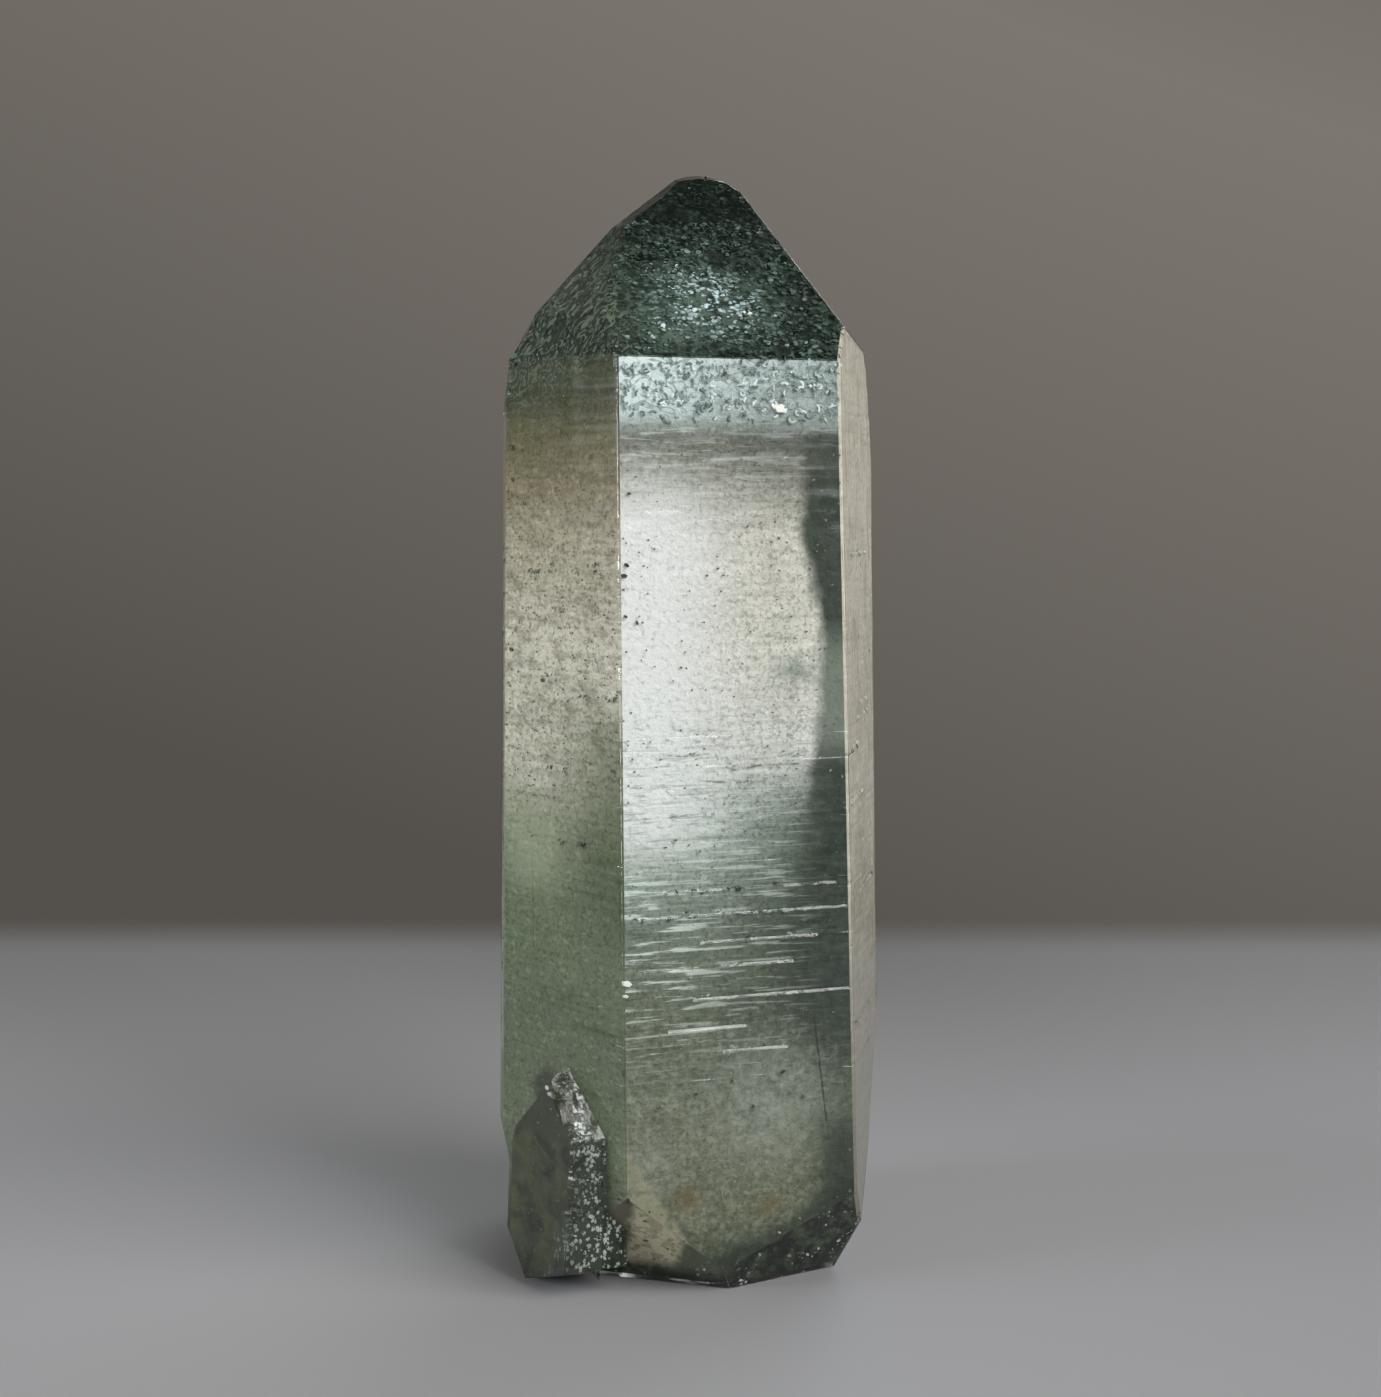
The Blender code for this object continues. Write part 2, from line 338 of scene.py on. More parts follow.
class Paint:
    """Builds one material or world, node by node, and keeps the colour painted so far."""

    def __init__(self, name, owners=None, surface="Principled BSDF"):
        self.colour = None
        self.owner = (bpy.data.materials if owners is None else owners).new(name)
        self.owner.use_nodes = True
        self.tree = self.owner.node_tree
        self.surface = self.tree.nodes[surface]

    def join(self, socket, value):
        if isinstance(value, Term):
            self.tree.links.new(value.socket, socket)
        else:
            socket.default_value = value

    def node(self, kind, settings=None, sockets=None, output=0):
        made = self.tree.nodes.new(kind)
        for key, value in (settings or {}).items():
            if key == "stops":
                self.fill_ramp(made.color_ramp, value)
            else:
                setattr(made, key, value)
        for key, value in (sockets or {}).items():
            self.join(made.inputs[key], value)
        return Term(self, made.outputs[output])

    def fill_ramp(self, ramp, stops):
        while len(ramp.elements) < len(stops):
            ramp.elements.new(1.0)
        for element, (position, colour) in zip(ramp.elements, stops):
            element.position = position
            element.color = colour

    def mapped(self, kind, scale, turn):
        spot = self.node("ShaderNodeTexCoord", output="Object")
        sockets = {"Vector": spot, "Scale": scale, "Rotation": turn}
        return self.node("ShaderNodeMapping", {"vector_type": kind}, sockets)

    def place(self, stretch=(1.0, 1.0, 1.0), turn=(0.0, 0.0, 0.0)):
        """The place on the piece in millimetres, stretched and turned."""
        return self.mapped("POINT", [part / MM for part in stretch], turn)

    def lengths(self, sizes, turn=(0.0, 0.0, 0.0)):
        """The place on the piece counted in grains of given sizes in millimetres, in a turned frame."""
        return self.mapped("TEXTURE", [size * MM for size in sizes], turn)

    def axis(self, place, name):
        return self.node("ShaderNodeSeparateXYZ", {}, {"Vector": place}, name)

    def grain(self, place, scale, detail=2.0, roughness=0.5, distortion=0.0):
        sockets = {
            "Vector": place, "Scale": scale, "Detail": detail, "Roughness": roughness,
            "Distortion": distortion,
        }
        return self.node("ShaderNodeTexNoise", {}, sockets, "Fac")

    def mix(self, share, under, over, blend="MIX"):
        settings = {"data_type": "RGBA", "blend_type": blend}
        return self.node("ShaderNodeMix", settings, {0: share, 6: under, 7: over}, 2)

    def over(self, share, colour, blend="MIX"):
        """Paint a share of a colour over what is there."""
        self.colour = self.mix(share, self.colour, colour, blend)

    def ramp(self, value, stops):
        return self.node("ShaderNodeValToRGB", {"stops": stops}, {"Fac": value}, "Color")

    def vector(self, operation, *values, output="Vector"):
        settings = {"operation": operation}
        return self.node("ShaderNodeVectorMath", settings, dict(enumerate(values)), output)

    def warped(self, place, scale, amount):
        """A place moved about by a noise."""
        sockets = {"Vector": place, "Scale": scale, "Detail": 2.0}
        drift = self.node("ShaderNodeTexNoise", {}, sockets, "Color")
        centred = self.vector("SUBTRACT", drift, (0.5, 0.5, 0.5))
        return self.vector("ADD", place, self.vector("MULTIPLY", centred, (amount, amount, amount)))

    def cells(self, place):
        """Scattered cells one unit across: distance from the middle, and the cell's own random tone."""
        distance = self.node("ShaderNodeTexVoronoi", {}, {"Vector": place, "Scale": 1.0}, "Distance")
        colour = Term(self, distance.socket.node.outputs["Color"])
        return distance, self.axis(colour, "X")

    def contours(self, place, count, width, detail=1.0):
        """Winding lines, 1 on the line, that follow the levels of a noise like the loops of a maze."""
        field = self.grain(place, 1.0, detail, 0.5, 0.7)
        away = abs((field * count).fraction() - 0.5)
        return away.fall(width * 0.5, width)

    def zones(self, height, table):
        """Colour by height in millimetres."""
        stops = [(level / HEIGHT, display(*shade)) for level, *shade in table]
        return self.ramp(height * (1.0 / HEIGHT), stops)

    def number_by_height(self, height, table, reach):
        """A number between 0 and reach by height in millimetres."""
        stops = [(level / HEIGHT, (value / reach,) * 3 + (1.0,)) for level, value in table]
        return self.ramp(height * (1.0 / HEIGHT), stops) * reach

    def length(self, place):
        return self.vector("LENGTH", place, output="Value")

    def blob(self, place, centre, radii, soft):
        """1 inside an ellipsoid and 0 outside, with a soft edge."""
        away = self.vector("DIVIDE", self.vector("SUBTRACT", place, centre), radii)
        return self.length(away).fall(1.0 - soft, 1.0)

    def bump(self, height, distance, strength=1.0):
        sockets = {"Height": height, "Distance": distance, "Strength": strength}
        return self.node("ShaderNodeBump", {}, sockets)

    def finish(self, **values):
        """Set the surface's sockets, named with underscores for spaces, and return what was painted."""
        for key, value in values.items():
            self.join(self.surface.inputs[key.replace("_", " ")], value)
        return self.owner


def clear_quartz(tint):
    paint = Paint("clear_quartz")
    strata = paint.grain(paint.place((0.12, 0.12, 2.6)), 1.0, 3.0)
    fine = paint.grain(paint.place((0.22, 0.22, 7.0)), 1.0, 3.0, 0.6)
    return paint.finish(
        Base_Color=tint,
        Roughness=strata * 0.14 + 0.05,
        Normal=paint.bump(fine, 0.012 * MM, 0.6),
        Transmission_Weight=1.0,
        IOR=1.544,
    )


def grit(paint, strength=1.0):
    """Paint fine pale and dark grains, and return the height that they have for the bump."""
    distance, tone = paint.cells(paint.warped(paint.lengths((0.75, 0.75, 0.5)), 1.3, 1.1))
    grains = tone * distance.fall(0.1, 0.8)
    dust = paint.grain(paint.place(), 2.7, 4.0, 0.72, 0.6)
    paint.over(grains.rise(0.2, 0.8) * (0.5 * strength), display(250, 250, 244), "SOFT_LIGHT")
    paint.over(dust.rise(0.46, 0.66) * (0.55 * strength), display(118, 120, 110), "MULTIPLY")
    return grains * 0.6 + dust * 1.4


def cloudy(name, table, wobble, strength=1.0):
    """A paint with the zones, clouds, strata and grit of one face, its place, and its relief."""
    paint = Paint(name)
    place = paint.place()
    drift = paint.grain(place, 0.16, 2.0) - 0.5
    height = paint.axis(place, "Z") + drift * (2.0 * wobble)
    paint.colour = paint.zones(height, table)
    clouds = paint.grain(place, 0.35, 4.0, 0.6, 0.4)
    paint.over(clouds.rise(0.3, 0.7) * 0.22, display(150, 152, 142), "MULTIPLY")
    strata = paint.grain(paint.place((0.10, 0.10, 1.9)), 1.0, 4.0, 0.65)
    paint.over(strata.rise(0.42, 0.72) * 0.26, display(150, 152, 140), "MULTIPLY")
    return paint, place, grit(paint, strength)


def rough_finish(paint, relief, depth, roughness=0.6, gloss=0.05, **more):
    """The painted colour on a rough surface with a relief in millimetres."""
    return paint.finish(
        Base_Color=paint.colour, Roughness=roughness, Specular_IOR_Level=gloss,
        Normal=paint.bump(relief, depth * MM), **more,
    )


def cloudy_finish(paint, relief, depth=0.05):
    """A rough cloud that lets a little light in."""
    return rough_finish(
        paint, relief, depth, Subsurface_Weight=0.25, Subsurface_Radius=(1.0, 1.0, 0.85),
        Subsurface_Scale=0.6 * MM,
    )


def front_milk(paint, place, across, height, wisps):
    """Over the upper front: a painted white sheen on the left, painted shade towards the right, grey under
    the band, and brushed growth lines painted as pale highlights and dark shade; returns the lines for the
    bump.
    """
    left_side = across.fall(-7.5, 2.5)
    # Painted sheen: the upper front whiter on the left, as if lit.
    white = left_side * height.between(34.0, 41.0, 60.5, 68.0)
    paint.over(white * 0.9, display(255, 255, 255))
    # Painted shade: the middle of the front darker towards the right.
    right_painted_shade = across.rise(-6.0, 8.0) * height.between(13.0, 24.0, 37.5, 46.0)
    paint.over(right_painted_shade * 0.84, display(98, 112, 92), "MULTIPLY")
    grey_top = height.between(61.0, 66.0, 69.0, 70.0) * across.rise(-8.0, 6.0)
    paint.over(grey_top * 0.5, display(118, 124, 114), "MULTIPLY")

    brush = paint.grain(paint.warped(paint.lengths((5.6, 5.6, 0.42)), 0.5, 0.45), 1.0, 5.0, 0.62)
    striae = height.between(17.0, 26.0, 42.0, 50.0) * (left_side * 0.65 + 0.35)
    grey_rows = height.between(61.0, 65.0, 69.5, 71.5) * (left_side * 0.25 + 0.13)
    brushed = striae + 0.05 + height.rise(22.0, 30.0) * 0.09 + grey_rows
    # The growth lines are painted as dark shade lines and pale highlights, strongest on the left.
    paint.over(brush.fall(0.36, 0.47) * brushed * 0.45, display(60, 74, 64))
    paint.over(brush.rise(0.53, 0.61) * brushed * 0.85, display(220, 232, 224))

    islands = paint.contours(paint.lengths((3.6, 3.6, 1.2)), 5.0, 0.16, 2.0)
    middle = height.between(36.0, 38.0, 45.0, 50.0)
    paint.over(islands * middle * wisps.rise(0.46, 0.6) * 0.5, display(96, 112, 104))
    # A second coat of the painted sheen on the left.
    paint.over(white * 0.3, display(244, 255, 255))
    wander = (paint.grain(paint.place((0.45, 0.45, 0.2)), 1.0, 2.0) - 0.5) * 0.7
    for start, end, level, rise in CRACKS:
        share = (across - start) * (1.0 / (end - start))
        line = abs(height - level - share * rise + wander).fall(0.02, 0.12)
        inside = across.between(start, start + 0.6, end - 1.5, end)
        paint.over(line * inside * wisps.rise(0.38, 0.6) * 0.65, display(78, 92, 84))
    pores = paint.grain(place, 1.9, 4.0, 0.72).rise(0.53, 0.68)
    upper = height.between(38.0, 44.0, 66.0, 69.0)
    paint.over(pores * upper * (left_side * 0.2 + 0.2), display(140, 142, 132))
    return brush * brushed


def front_top_band(paint, place, across, height):
    """The pale blue band of winding chlorite under the point, made paler by a painted reflection that is
    brightest on the left and at its crest; returns the windings for the bump.
    """
    maze = paint.contours(paint.warped(paint.lengths((1.9, 1.9, 1.4)), 1.2, 0.4), 4.0, 0.2)
    tufts = paint.grain(place, 1.2, 3.0, 0.6).rise(0.35, 0.62)
    # Painted reflection: the band whiter on the left and at its crest, and darkened towards the right.
    band = height.rise(69.4, 71.0)
    crest = height.rise(72.8, 75.2)
    lift = across.fall(-9.0, 4.0) * 0.5 + across.fall(5.5, 8.5) * 0.25
    paint.over(band * lift + crest * 0.35, display(238, 255, 255))
    fading = across.rise(-9.0, 8.0) * band * (0.85 - crest * 0.3)
    paint.over(fading, display(174, 178, 176), "MULTIPLY")
    paint.over(maze * band * (tufts * 0.45 + 0.06), display(92, 108, 106))
    return maze * band


def front_sage(paint, place, height, wisps):
    """Mottled sage green low on the front, with pale hazes in it."""
    mottle = paint.grain(place, 1.5, 4.0, 0.7)
    lower = height.fall(20.0, 30.0)
    paint.over(mottle.rise(0.5, 0.64) * lower * 0.35, display(160, 168, 150))
    paint.over(mottle.fall(0.34, 0.48) * lower * 0.4, display(74, 84, 66))
    haze = paint.blob(place, (3.2, -11.0, 16.0), (7.6, 4.0, 9.0), 0.9)
    paint.over(haze * wisps.rise(0.25, 0.75) * 0.6, CLOUD_WHITE)
    haze = paint.blob(place, (-6.6, -11.0, 11.0), (2.6, 4.0, 4.4), 0.9)
    paint.over(haze * wisps.rise(0.3, 0.7) * 0.5, CLOUD_WHITE)


def front_dark_band(paint, place, across, height, wisps, ragged):
    """The dark green band along the right edge, paler half way up, and a green shade beside it."""
    reach = across - paint.number_by_height(height, BAND_EDGE, BAND_REACH) + ragged
    low = height.fall(34.0, 46.0)
    band = reach.rise(-0.9, 0.5) * (1.0 - low) + reach.rise(-3.2, 2.0) * low
    band = band * height.fall(68.2, 69.8) * (height.rise(12.0, 26.0) * 0.75 + 0.25)
    band = band * (1.0 - height.rise(64.0, 68.0) * 0.3)
    shade = paint.blob(place, (5.4, -11.3, 50.6), (3.4, 4.0, 2.3), 0.95)
    paint.over(shade * wisps.rise(0.25, 0.6) * 0.65, display(110, 128, 114))
    pale = height.between(42.5, 46.0, 51.0, 55.0)
    green = paint.mix(pale * 0.9, BAND_GREEN, BAND_BLUE)
    green = paint.mix(wisps.rise(0.35, 0.7) * 0.35, green, display(96, 108, 96))
    paint.over(band * 0.96, green)


def front_flaws(paint, place, across, height, wisps):
    """Thin pale veins, one long dark crack and the rust stains, low on the front."""
    veins = paint.contours(paint.lengths((9.0, 9.0, 8.0)), 3.0, 0.014, 2.0)
    deep = height.fall(17.0, 22.0) * height.rise(5.0, 8.0) * wisps.rise(0.42, 0.6)
    paint.over(veins * deep * 0.4, display(170, 176, 160))
    crack_place, crack_foot, crack_lean = LONG_CRACK
    crack = across - (crack_place - (height - crack_foot) * crack_lean) + (wisps - 0.5) * 0.25
    line = abs(crack).fall(0.03, 0.14) * height.between(11.6, 12.6, 22.0, 23.4)
    paint.over(line * wisps.rise(0.3, 0.5) * 0.75, display(40, 38, 28))
    for centre, radii in STAINS:
        stain = paint.blob(place, centre, radii, 0.9)
        paint.over(stain * wisps.rise(0.3, 0.6) * 0.65, IRON_STAIN)


def front_foot(paint, place, across, height, wisps, ragged):
    """Dark green and cream along the broken lower edge, and dark green up the right corner."""
    above = height - across * 0.47 - 2.9 + ragged * 1.3
    skirt = above.fall(-0.2, 1.8) * across.rise(-4.0, -2.0)
    paint.over(skirt * 0.7, display(34, 46, 36))
    above = height + across * 1.6 + 0.9 + ragged * 1.4
    patch = above.fall(-0.6, 0.8) * across.fall(-4.4, -2.8)
    paint.over(patch * wisps.rise(0.3, 0.55) * 0.7, display(158, 156, 130))
    rim = (height + ragged * 1.5).fall(1.6, 5.4) * across.rise(-7.0, -1.0)
    corner = paint.blob(place, (9.0, -11.3, 2.0), (4.8, 4.0, 7.5), 0.7)
    flank = (across + ragged * 1.3).rise(5.6, 9.2) * height.fall(11.0, 17.0)
    dark = (rim * 0.55 + corner * 0.55).most(flank * 0.75)
    paint.over(dark, display(30, 42, 34))


def front_cloud():
    """The wide front face: blue band, grey, cream and white above, brushed green and sage below, with a
    painted reflection on the band, a painted sheen on the left and painted highlights and shade on the
    brushed lines.
    """
    paint, place, relief = cloudy("front_cloud", FRONT_ZONES, 0.3)
    across = paint.axis(place, "X")
    height = paint.axis(place, "Z")
    wisps = paint.grain(place, 0.9, 4.0, 0.65)
    ragged = (paint.grain(place, 0.6, 3.0) - 0.5) * 1.3
    lines = front_milk(paint, place, across, height, wisps)
    windings = front_top_band(paint, place, across, height)
    front_sage(paint, place, height, wisps)
    front_dark_band(paint, place, across, height, wisps, ragged)
    front_flaws(paint, place, across, height, wisps)
    front_foot(paint, place, across, height, wisps, ragged)
    return cloudy_finish(paint, relief + lines * 1.4 - windings * 0.8, 0.06)


def left_cloud():
    """The left face: cream with olive grime above, sage green below, chlorite next to the point, and
    painted shade round the small crystal.
    """
    paint, place, relief = cloudy("left_cloud", LEFT_ZONES, 1.2)
    across = paint.axis(place, "X")
    height = paint.axis(place, "Z")
    middle = height.between(38.0, 46.0, 67.0, 70.0)
    grime = paint.grain(paint.lengths((2.2, 2.2, 1.1)), 1.0, 5.0, 0.72, 0.5)
    paint.over(grime.rise(0.46, 0.64) * middle * 0.5, display(120, 114, 88))
    pores = paint.grain(place, 2.1, 3.0, 0.7).rise(0.58, 0.68)
    paint.over(pores * middle * 0.42, display(88, 84, 62))
    blotches = paint.grain(paint.lengths((4.0, 4.0, 2.0)), 1.0, 4.0, 0.65).rise(0.5, 0.66)
    paint.over(blotches * middle * across.fall(-14.0, -9.5) * 0.35, display(112, 108, 80))
    shade = across.rise(-13.5, -9.0) * height.between(26.0, 36.0, 44.0, 50.0)
    paint.over(shade * 0.75, display(140, 154, 126), "MULTIPLY")
    # Painted shadow in the crevice between the foot and the small crystal.
    crevice_shadow = paint.blob(place, (-9.6, -9.6, 1.5), (1.7, 4.0, 8.5), 0.6)
    paint.over(crevice_shadow * 0.8, display(26, 28, 20))
    # Painted shade on the left face beside the upper left of the small crystal.
    shoulder = paint.blob(place, (-13.2, -4.0, 15.7), (1.8, 3.6, 2.4), 0.5)
    paint.over(shoulder * 0.8, display(54, 58, 42))
    pale = paint.blob(place, (-14.4, -3.0, 35.5), (3.6, 6.0, 6.0), 0.9)
    paint.over(pale * 0.45, display(180, 188, 162))
    maze = paint.contours(paint.lengths((1.5, 1.1, 0.9), (0.0, -0.85, 0.0)), 5.0, 0.22)
    tuft = paint.grain(place, 0.8, 3.0, 0.6) - 0.5
    top = (height - (across + 15.5) * 0.8 + tuft * 4.0).rise(68.2, 72.2)
    chlorite = paint.mix(maze * 0.65, CHLORITE_OLIVE, display(124, 134, 116))
    paint.over(top * 0.85, chlorite)
    return cloudy_finish(paint, relief + grime * 0.8)


def strip_cloud():
    """The pale narrow face on the right, with faint upright scratches and a few spots."""
    paint, place, relief = cloudy("strip_cloud", STRIP_ZONES, 2.0, 0.7)
    scratches = paint.grain(paint.lengths((0.5, 0.5, 5.0), (0.12, 0.0, 0.0)), 1.0, 4.0, 0.65)
    paint.over(scratches.rise(0.5, 0.66) * 0.5, display(132, 122, 102))
    spots = paint.grain(paint.lengths((0.6, 0.6, 1.0)), 1.0, 3.0, 0.6).rise(0.66, 0.72)
    paint.over(spots * 0.6, display(92, 88, 74))
    low = (paint.axis(place, "Z") + spots * 2.0).fall(2.0, 16.0)
    paint.over(low * 0.35, display(92, 96, 80))
    return cloudy_finish(paint, relief)


def back_cloud():
    """The hidden faces: beige, milky above and green below, with fine level lines, and growth lines painted
    as pale highlights and dark shade.
    """
    paint, place, relief = cloudy("back_cloud", BACK_ZONES, 2.2)
    streaks = paint.grain(paint.place((1.4, 1.4, 0.12)), 1.0, 4.0, 0.65)
    paint.over(streaks.rise(0.48, 0.66) * 0.4, display(150, 142, 122))
    green = paint.grain(place, 0.09, 3.0, 0.6)
    height = paint.axis(place, "Z")
    low = height.fall(8.0, 44.0)
    milk = paint.grain(paint.place((0.16, 0.16, 0.4)), 1.0, 4.0, 0.65).rise(0.46, 0.66)
    paint.over(milk * height.between(30.0, 40.0, 64.0, 72.0) * 0.65, display(228, 228, 218))
    paint.over(green.rise(0.42, 0.62) * low * 0.8, display(112, 128, 100))
    brush = paint.grain(paint.warped(paint.lengths((7.5, 7.5, 0.35)), 0.4, 0.5), 1.0, 5.0, 0.62)
    striae = height.between(14.0, 24.0, 44.0, 54.0)
    # Painted highlights and painted shade along the growth lines.
    paint.over(brush.rise(0.53, 0.66) * striae * 0.5, display(206, 212, 202))
    paint.over(brush.fall(0.36, 0.47) * striae * 0.4, display(74, 84, 70))
    return cloudy_finish(paint, relief)


def chlorite_cloud():
    """Dark chlorite under the point: small tufts, paler in clumps, with a painted pale blue highlight in
    front.
    """
    paint = Paint("chlorite_cloud")
    place = paint.place()
    distance, tone = paint.cells(paint.warped(paint.lengths((0.50, 0.50, 0.34)), 1.3, 1.2))
    tuft = distance.fall(0.15, 0.7) * tone
    curls = paint.contours(paint.warped(paint.lengths((1.5, 1.5, 0.9)), 1.0, 0.6), 4.0, 0.22)
    clumps = paint.grain(place, 0.5, 4.0, 0.7).rise(0.34, 0.62)
    height = paint.axis(place, "Z")
    dusky = 1.0 - height.rise(83.5, 87.5) * 0.75
    shine = tuft.rise(0.08, 0.7) * 0.75 + curls * 0.35
    paint.colour = paint.mix(shine * (clumps * 0.8 + 0.2) * dusky, CHLORITE_DARK, CHLORITE_MID)
    # Painted highlight: the chlorite paler and bluer at the front of the point, and paler lumps mostly
    # under it.
    highlight = paint.blob(place, (-0.8, -7.4, 78.6), (8.4, 6.5, 6.2), 1.0)
    wide = paint.blob(place, (-4.6, -9.0, 77.0), (5.6, 5.0, 4.2), 1.0)
    lumps = paint.grain(place, 1.4, 3.0, 0.6).rise(0.42, 0.6)
    paint.over(lumps * (highlight + wide * 0.8 + 0.16) * dusky * 0.55, display(112, 130, 118))
    paint.over((highlight * 0.6 + wide * 0.45) * (clumps * 0.5 + 0.5) * 0.7, display(88, 108, 98))
    paint.over(highlight * highlight * tuft.rise(0.12, 0.6) * 1.2, HIGHLIGHT_BLUE)
    slanted = paint.warped(paint.lengths((1.9, 1.3, 0.85), (0.0, -0.8, 0.0)), 1.2, 0.5)
    rods = paint.contours(slanted, 4.0, 0.22)
    left = paint.axis(place, "X").fall(-10.5, -5.5)
    paint.over(left * 0.5, display(74, 82, 68))
    paint.over(rods * left * 0.65, display(132, 144, 126))
    return rough_finish(paint, tuft + curls * 0.5 + rods * left * 0.5, 0.07, 0.7, 0.0)


def foot_cloud():
    """The broken foot: black green, with one cream break on the left, painted brown shade in the crevice
    beyond it, and dark grains all over.
    """
    paint = Paint("foot_cloud")
    place = paint.place()
    grain = paint.grain(place, 0.8, 4.0, 0.65)
    fine = paint.grain(place, 2.4, 4.0, 0.7)
    paint.colour = paint.mix(grain.rise(0.4, 0.7), display(18, 26, 20), display(70, 82, 64))
    across = paint.axis(place, "X")
    height = paint.axis(place, "Z")
    ragged = across + grain * 1.6
    cream = ragged.between(-7.6, -6.7, -3.6, -2.6) * (height + grain).rise(2.0, 3.4)
    sage = across.between(-6.0, -4.0, -1.0, 1.0) * height.rise(0.6, 2.4)
    paint.over(sage * 0.7, display(92, 100, 78))
    paint.over(cream * fine.rise(0.26, 0.42), display(196, 190, 160))
    paint.over(cream * grain.rise(0.48, 0.6) * 0.55, display(124, 122, 98))
    pits = paint.contours(paint.lengths((2.2, 2.2, 1.6)), 4.0, 0.14, 3.0)
    paint.over(pits * cream * 0.5, display(98, 94, 70))
    # Painted shade: brown in the crevice left of the cream break.
    left = ragged.fall(-7.8, -6.6)
    paint.over(left * height.rise(1.0, 4.0) * 0.85, display(98, 95, 76))
    return rough_finish(paint, grain + fine * 0.4, 0.16, 0.5, 0.1)


def side_cloud():
    """The small crystal's own dark olive cloud, dark grey and crushed towards its bright right edge."""
    paint = Paint("side_cloud")
    place = paint.place()
    across = paint.axis(place, "X")
    height = paint.axis(place, "Z")
    clouds = paint.grain(place, 0.45, 4.0, 0.65, 0.5)
    paint.colour = paint.mix(clouds.rise(0.3, 0.7), display(30, 34, 21), display(74, 81, 55))
    distance, tone = paint.cells(paint.warped(paint.lengths((0.34, 0.34, 0.44)), 1.6, 0.9))
    crushed = tone * distance.fall(0.2, 0.7)
    side = across - height * 0.16 + clouds * 0.8
    right = side.rise(-14.3, -13.5)
    paint.over(right * 0.9, display(60, 66, 58))
    edge = side.rise(-13.6, -11.8) * 0.5
    paint.over(crushed.rise(0.2, 0.6) * (right * 0.25 + edge), display(206, 216, 208))
    paint.over(clouds.fall(0.36, 0.5) * right * 0.6, display(30, 34, 28))
    inner = (across - height * 0.087 + (clouds - 0.5) * 0.5).rise(-13.7, -13.3)
    top = height.rise(12.4, 13.6)
    paint.over((1.0 - inner) * top * 0.85, display(54, 58, 42))
    paint.over(inner * height.rise(10.5, 14.0) * crushed.rise(0.08, 0.5), display(214, 224, 218))
    outer = (across + (clouds - 0.5) * 0.5).rise(-11.5, -11.0)
    paint.over(outer * top * 0.8, display(80, 88, 68))
    base = height.fall(0.5, 5.0)
    paint.over(base * 0.5, display(70, 74, 60), "MULTIPLY")
    return rough_finish(paint, clouds + crushed * 0.6, 0.12)


def flake_paint(name, dark, middle, light, gloss):
    """Colour from dark to light by each flake's own tone, kept in the tone attribute."""
    paint = Paint(name)
    tone = paint.node("ShaderNodeAttribute", {"attribute_name": "tone"}, {}, "Fac")
    grain = paint.grain(paint.place(), 6.0, 2.0)
    colour = paint.ramp(tone + (grain - 0.5) * 0.2, ((0.0, dark), (0.5, middle), (1.0, light)))
    return paint.finish(Base_Color=colour, Roughness=gloss, Specular_IOR_Level=0.3)


def looks(normal):
    """Compass direction and rise of a normal, in degrees."""
    heading = math.degrees(math.atan2(normal.y, normal.x))
    return heading, math.degrees(math.asin(max(-1.0, min(1.0, normal.z))))


def turn_between(first, second):
    return abs((first - second + 180.0) % 360.0 - 180.0)


def heading_vector(direction):
    turn = math.radians(direction)
    return Vector((math.cos(turn), math.sin(turn), 0.0))


def faces_side(normal, direction):
    heading, rise = looks(normal)
    return abs(rise) < PRISM_RISE and turn_between(heading, direction) < PRISM_TURN


def aim_of(direction, rise):
    """Unit vector of a compass direction and a rise, in degrees."""
    lift = math.radians(rise)
    return heading_vector(direction) * math.cos(lift) + Vector((0.0, 0.0, math.sin(lift)))


def cut(solid, normal, distance):
    """Take off everything past a plane and close the cut."""
    found = bmesh.ops.bisect_plane(
        solid, geom=solid.verts[:] + solid.edges[:] + solid.faces[:], dist=1e-7,
        plane_co=normal * distance, plane_no=normal, clear_outer=True,
    )["geom_cut"]
    rim = [part for part in found if isinstance(part, bmesh.types.BMEdge)]
    if rim:
        bmesh.ops.contextual_create(solid, geom=rim)


def carve(solid, cutter):
    """Take one closed bmesh out of another."""
    things = []
    for part in (solid, cutter):
        mesh = bpy.data.meshes.new("carving")
        part.to_mesh(mesh)
        part.free()
        things.append(bpy.data.objects.new("carving", mesh))
        bpy.context.scene.collection.objects.link(things[-1])
    modifier = things[0].modifiers.new("carve", "BOOLEAN")
    modifier.object = things[1]
    carved = bmesh.new()
    carved.from_object(things[0], bpy.context.evaluated_depsgraph_get())
    for thing in things:
        mesh = thing.data
        bpy.data.objects.remove(thing)
        bpy.data.meshes.remove(mesh)
    return carved


def chipped(solid, inset=0.0):
    """A solid without the broken corners of the foot, which reach deeper by an inset."""
    for direction, rise, distance in CHIPS:
        chip = bmesh.new()
        bmesh.ops.create_cube(chip, size=60.0 * MM)
        start = 30.0 * MM + CHIP_START - inset
        bmesh.ops.translate(chip, verts=chip.verts[:], vec=Vector((start, 0.0, 0.0)))
        cut(chip, -aim_of(direction, rise), inset - distance)
        bmesh.ops.recalc_face_normals(chip, faces=chip.faces[:])
        solid = carve(solid, chip)
    return solid


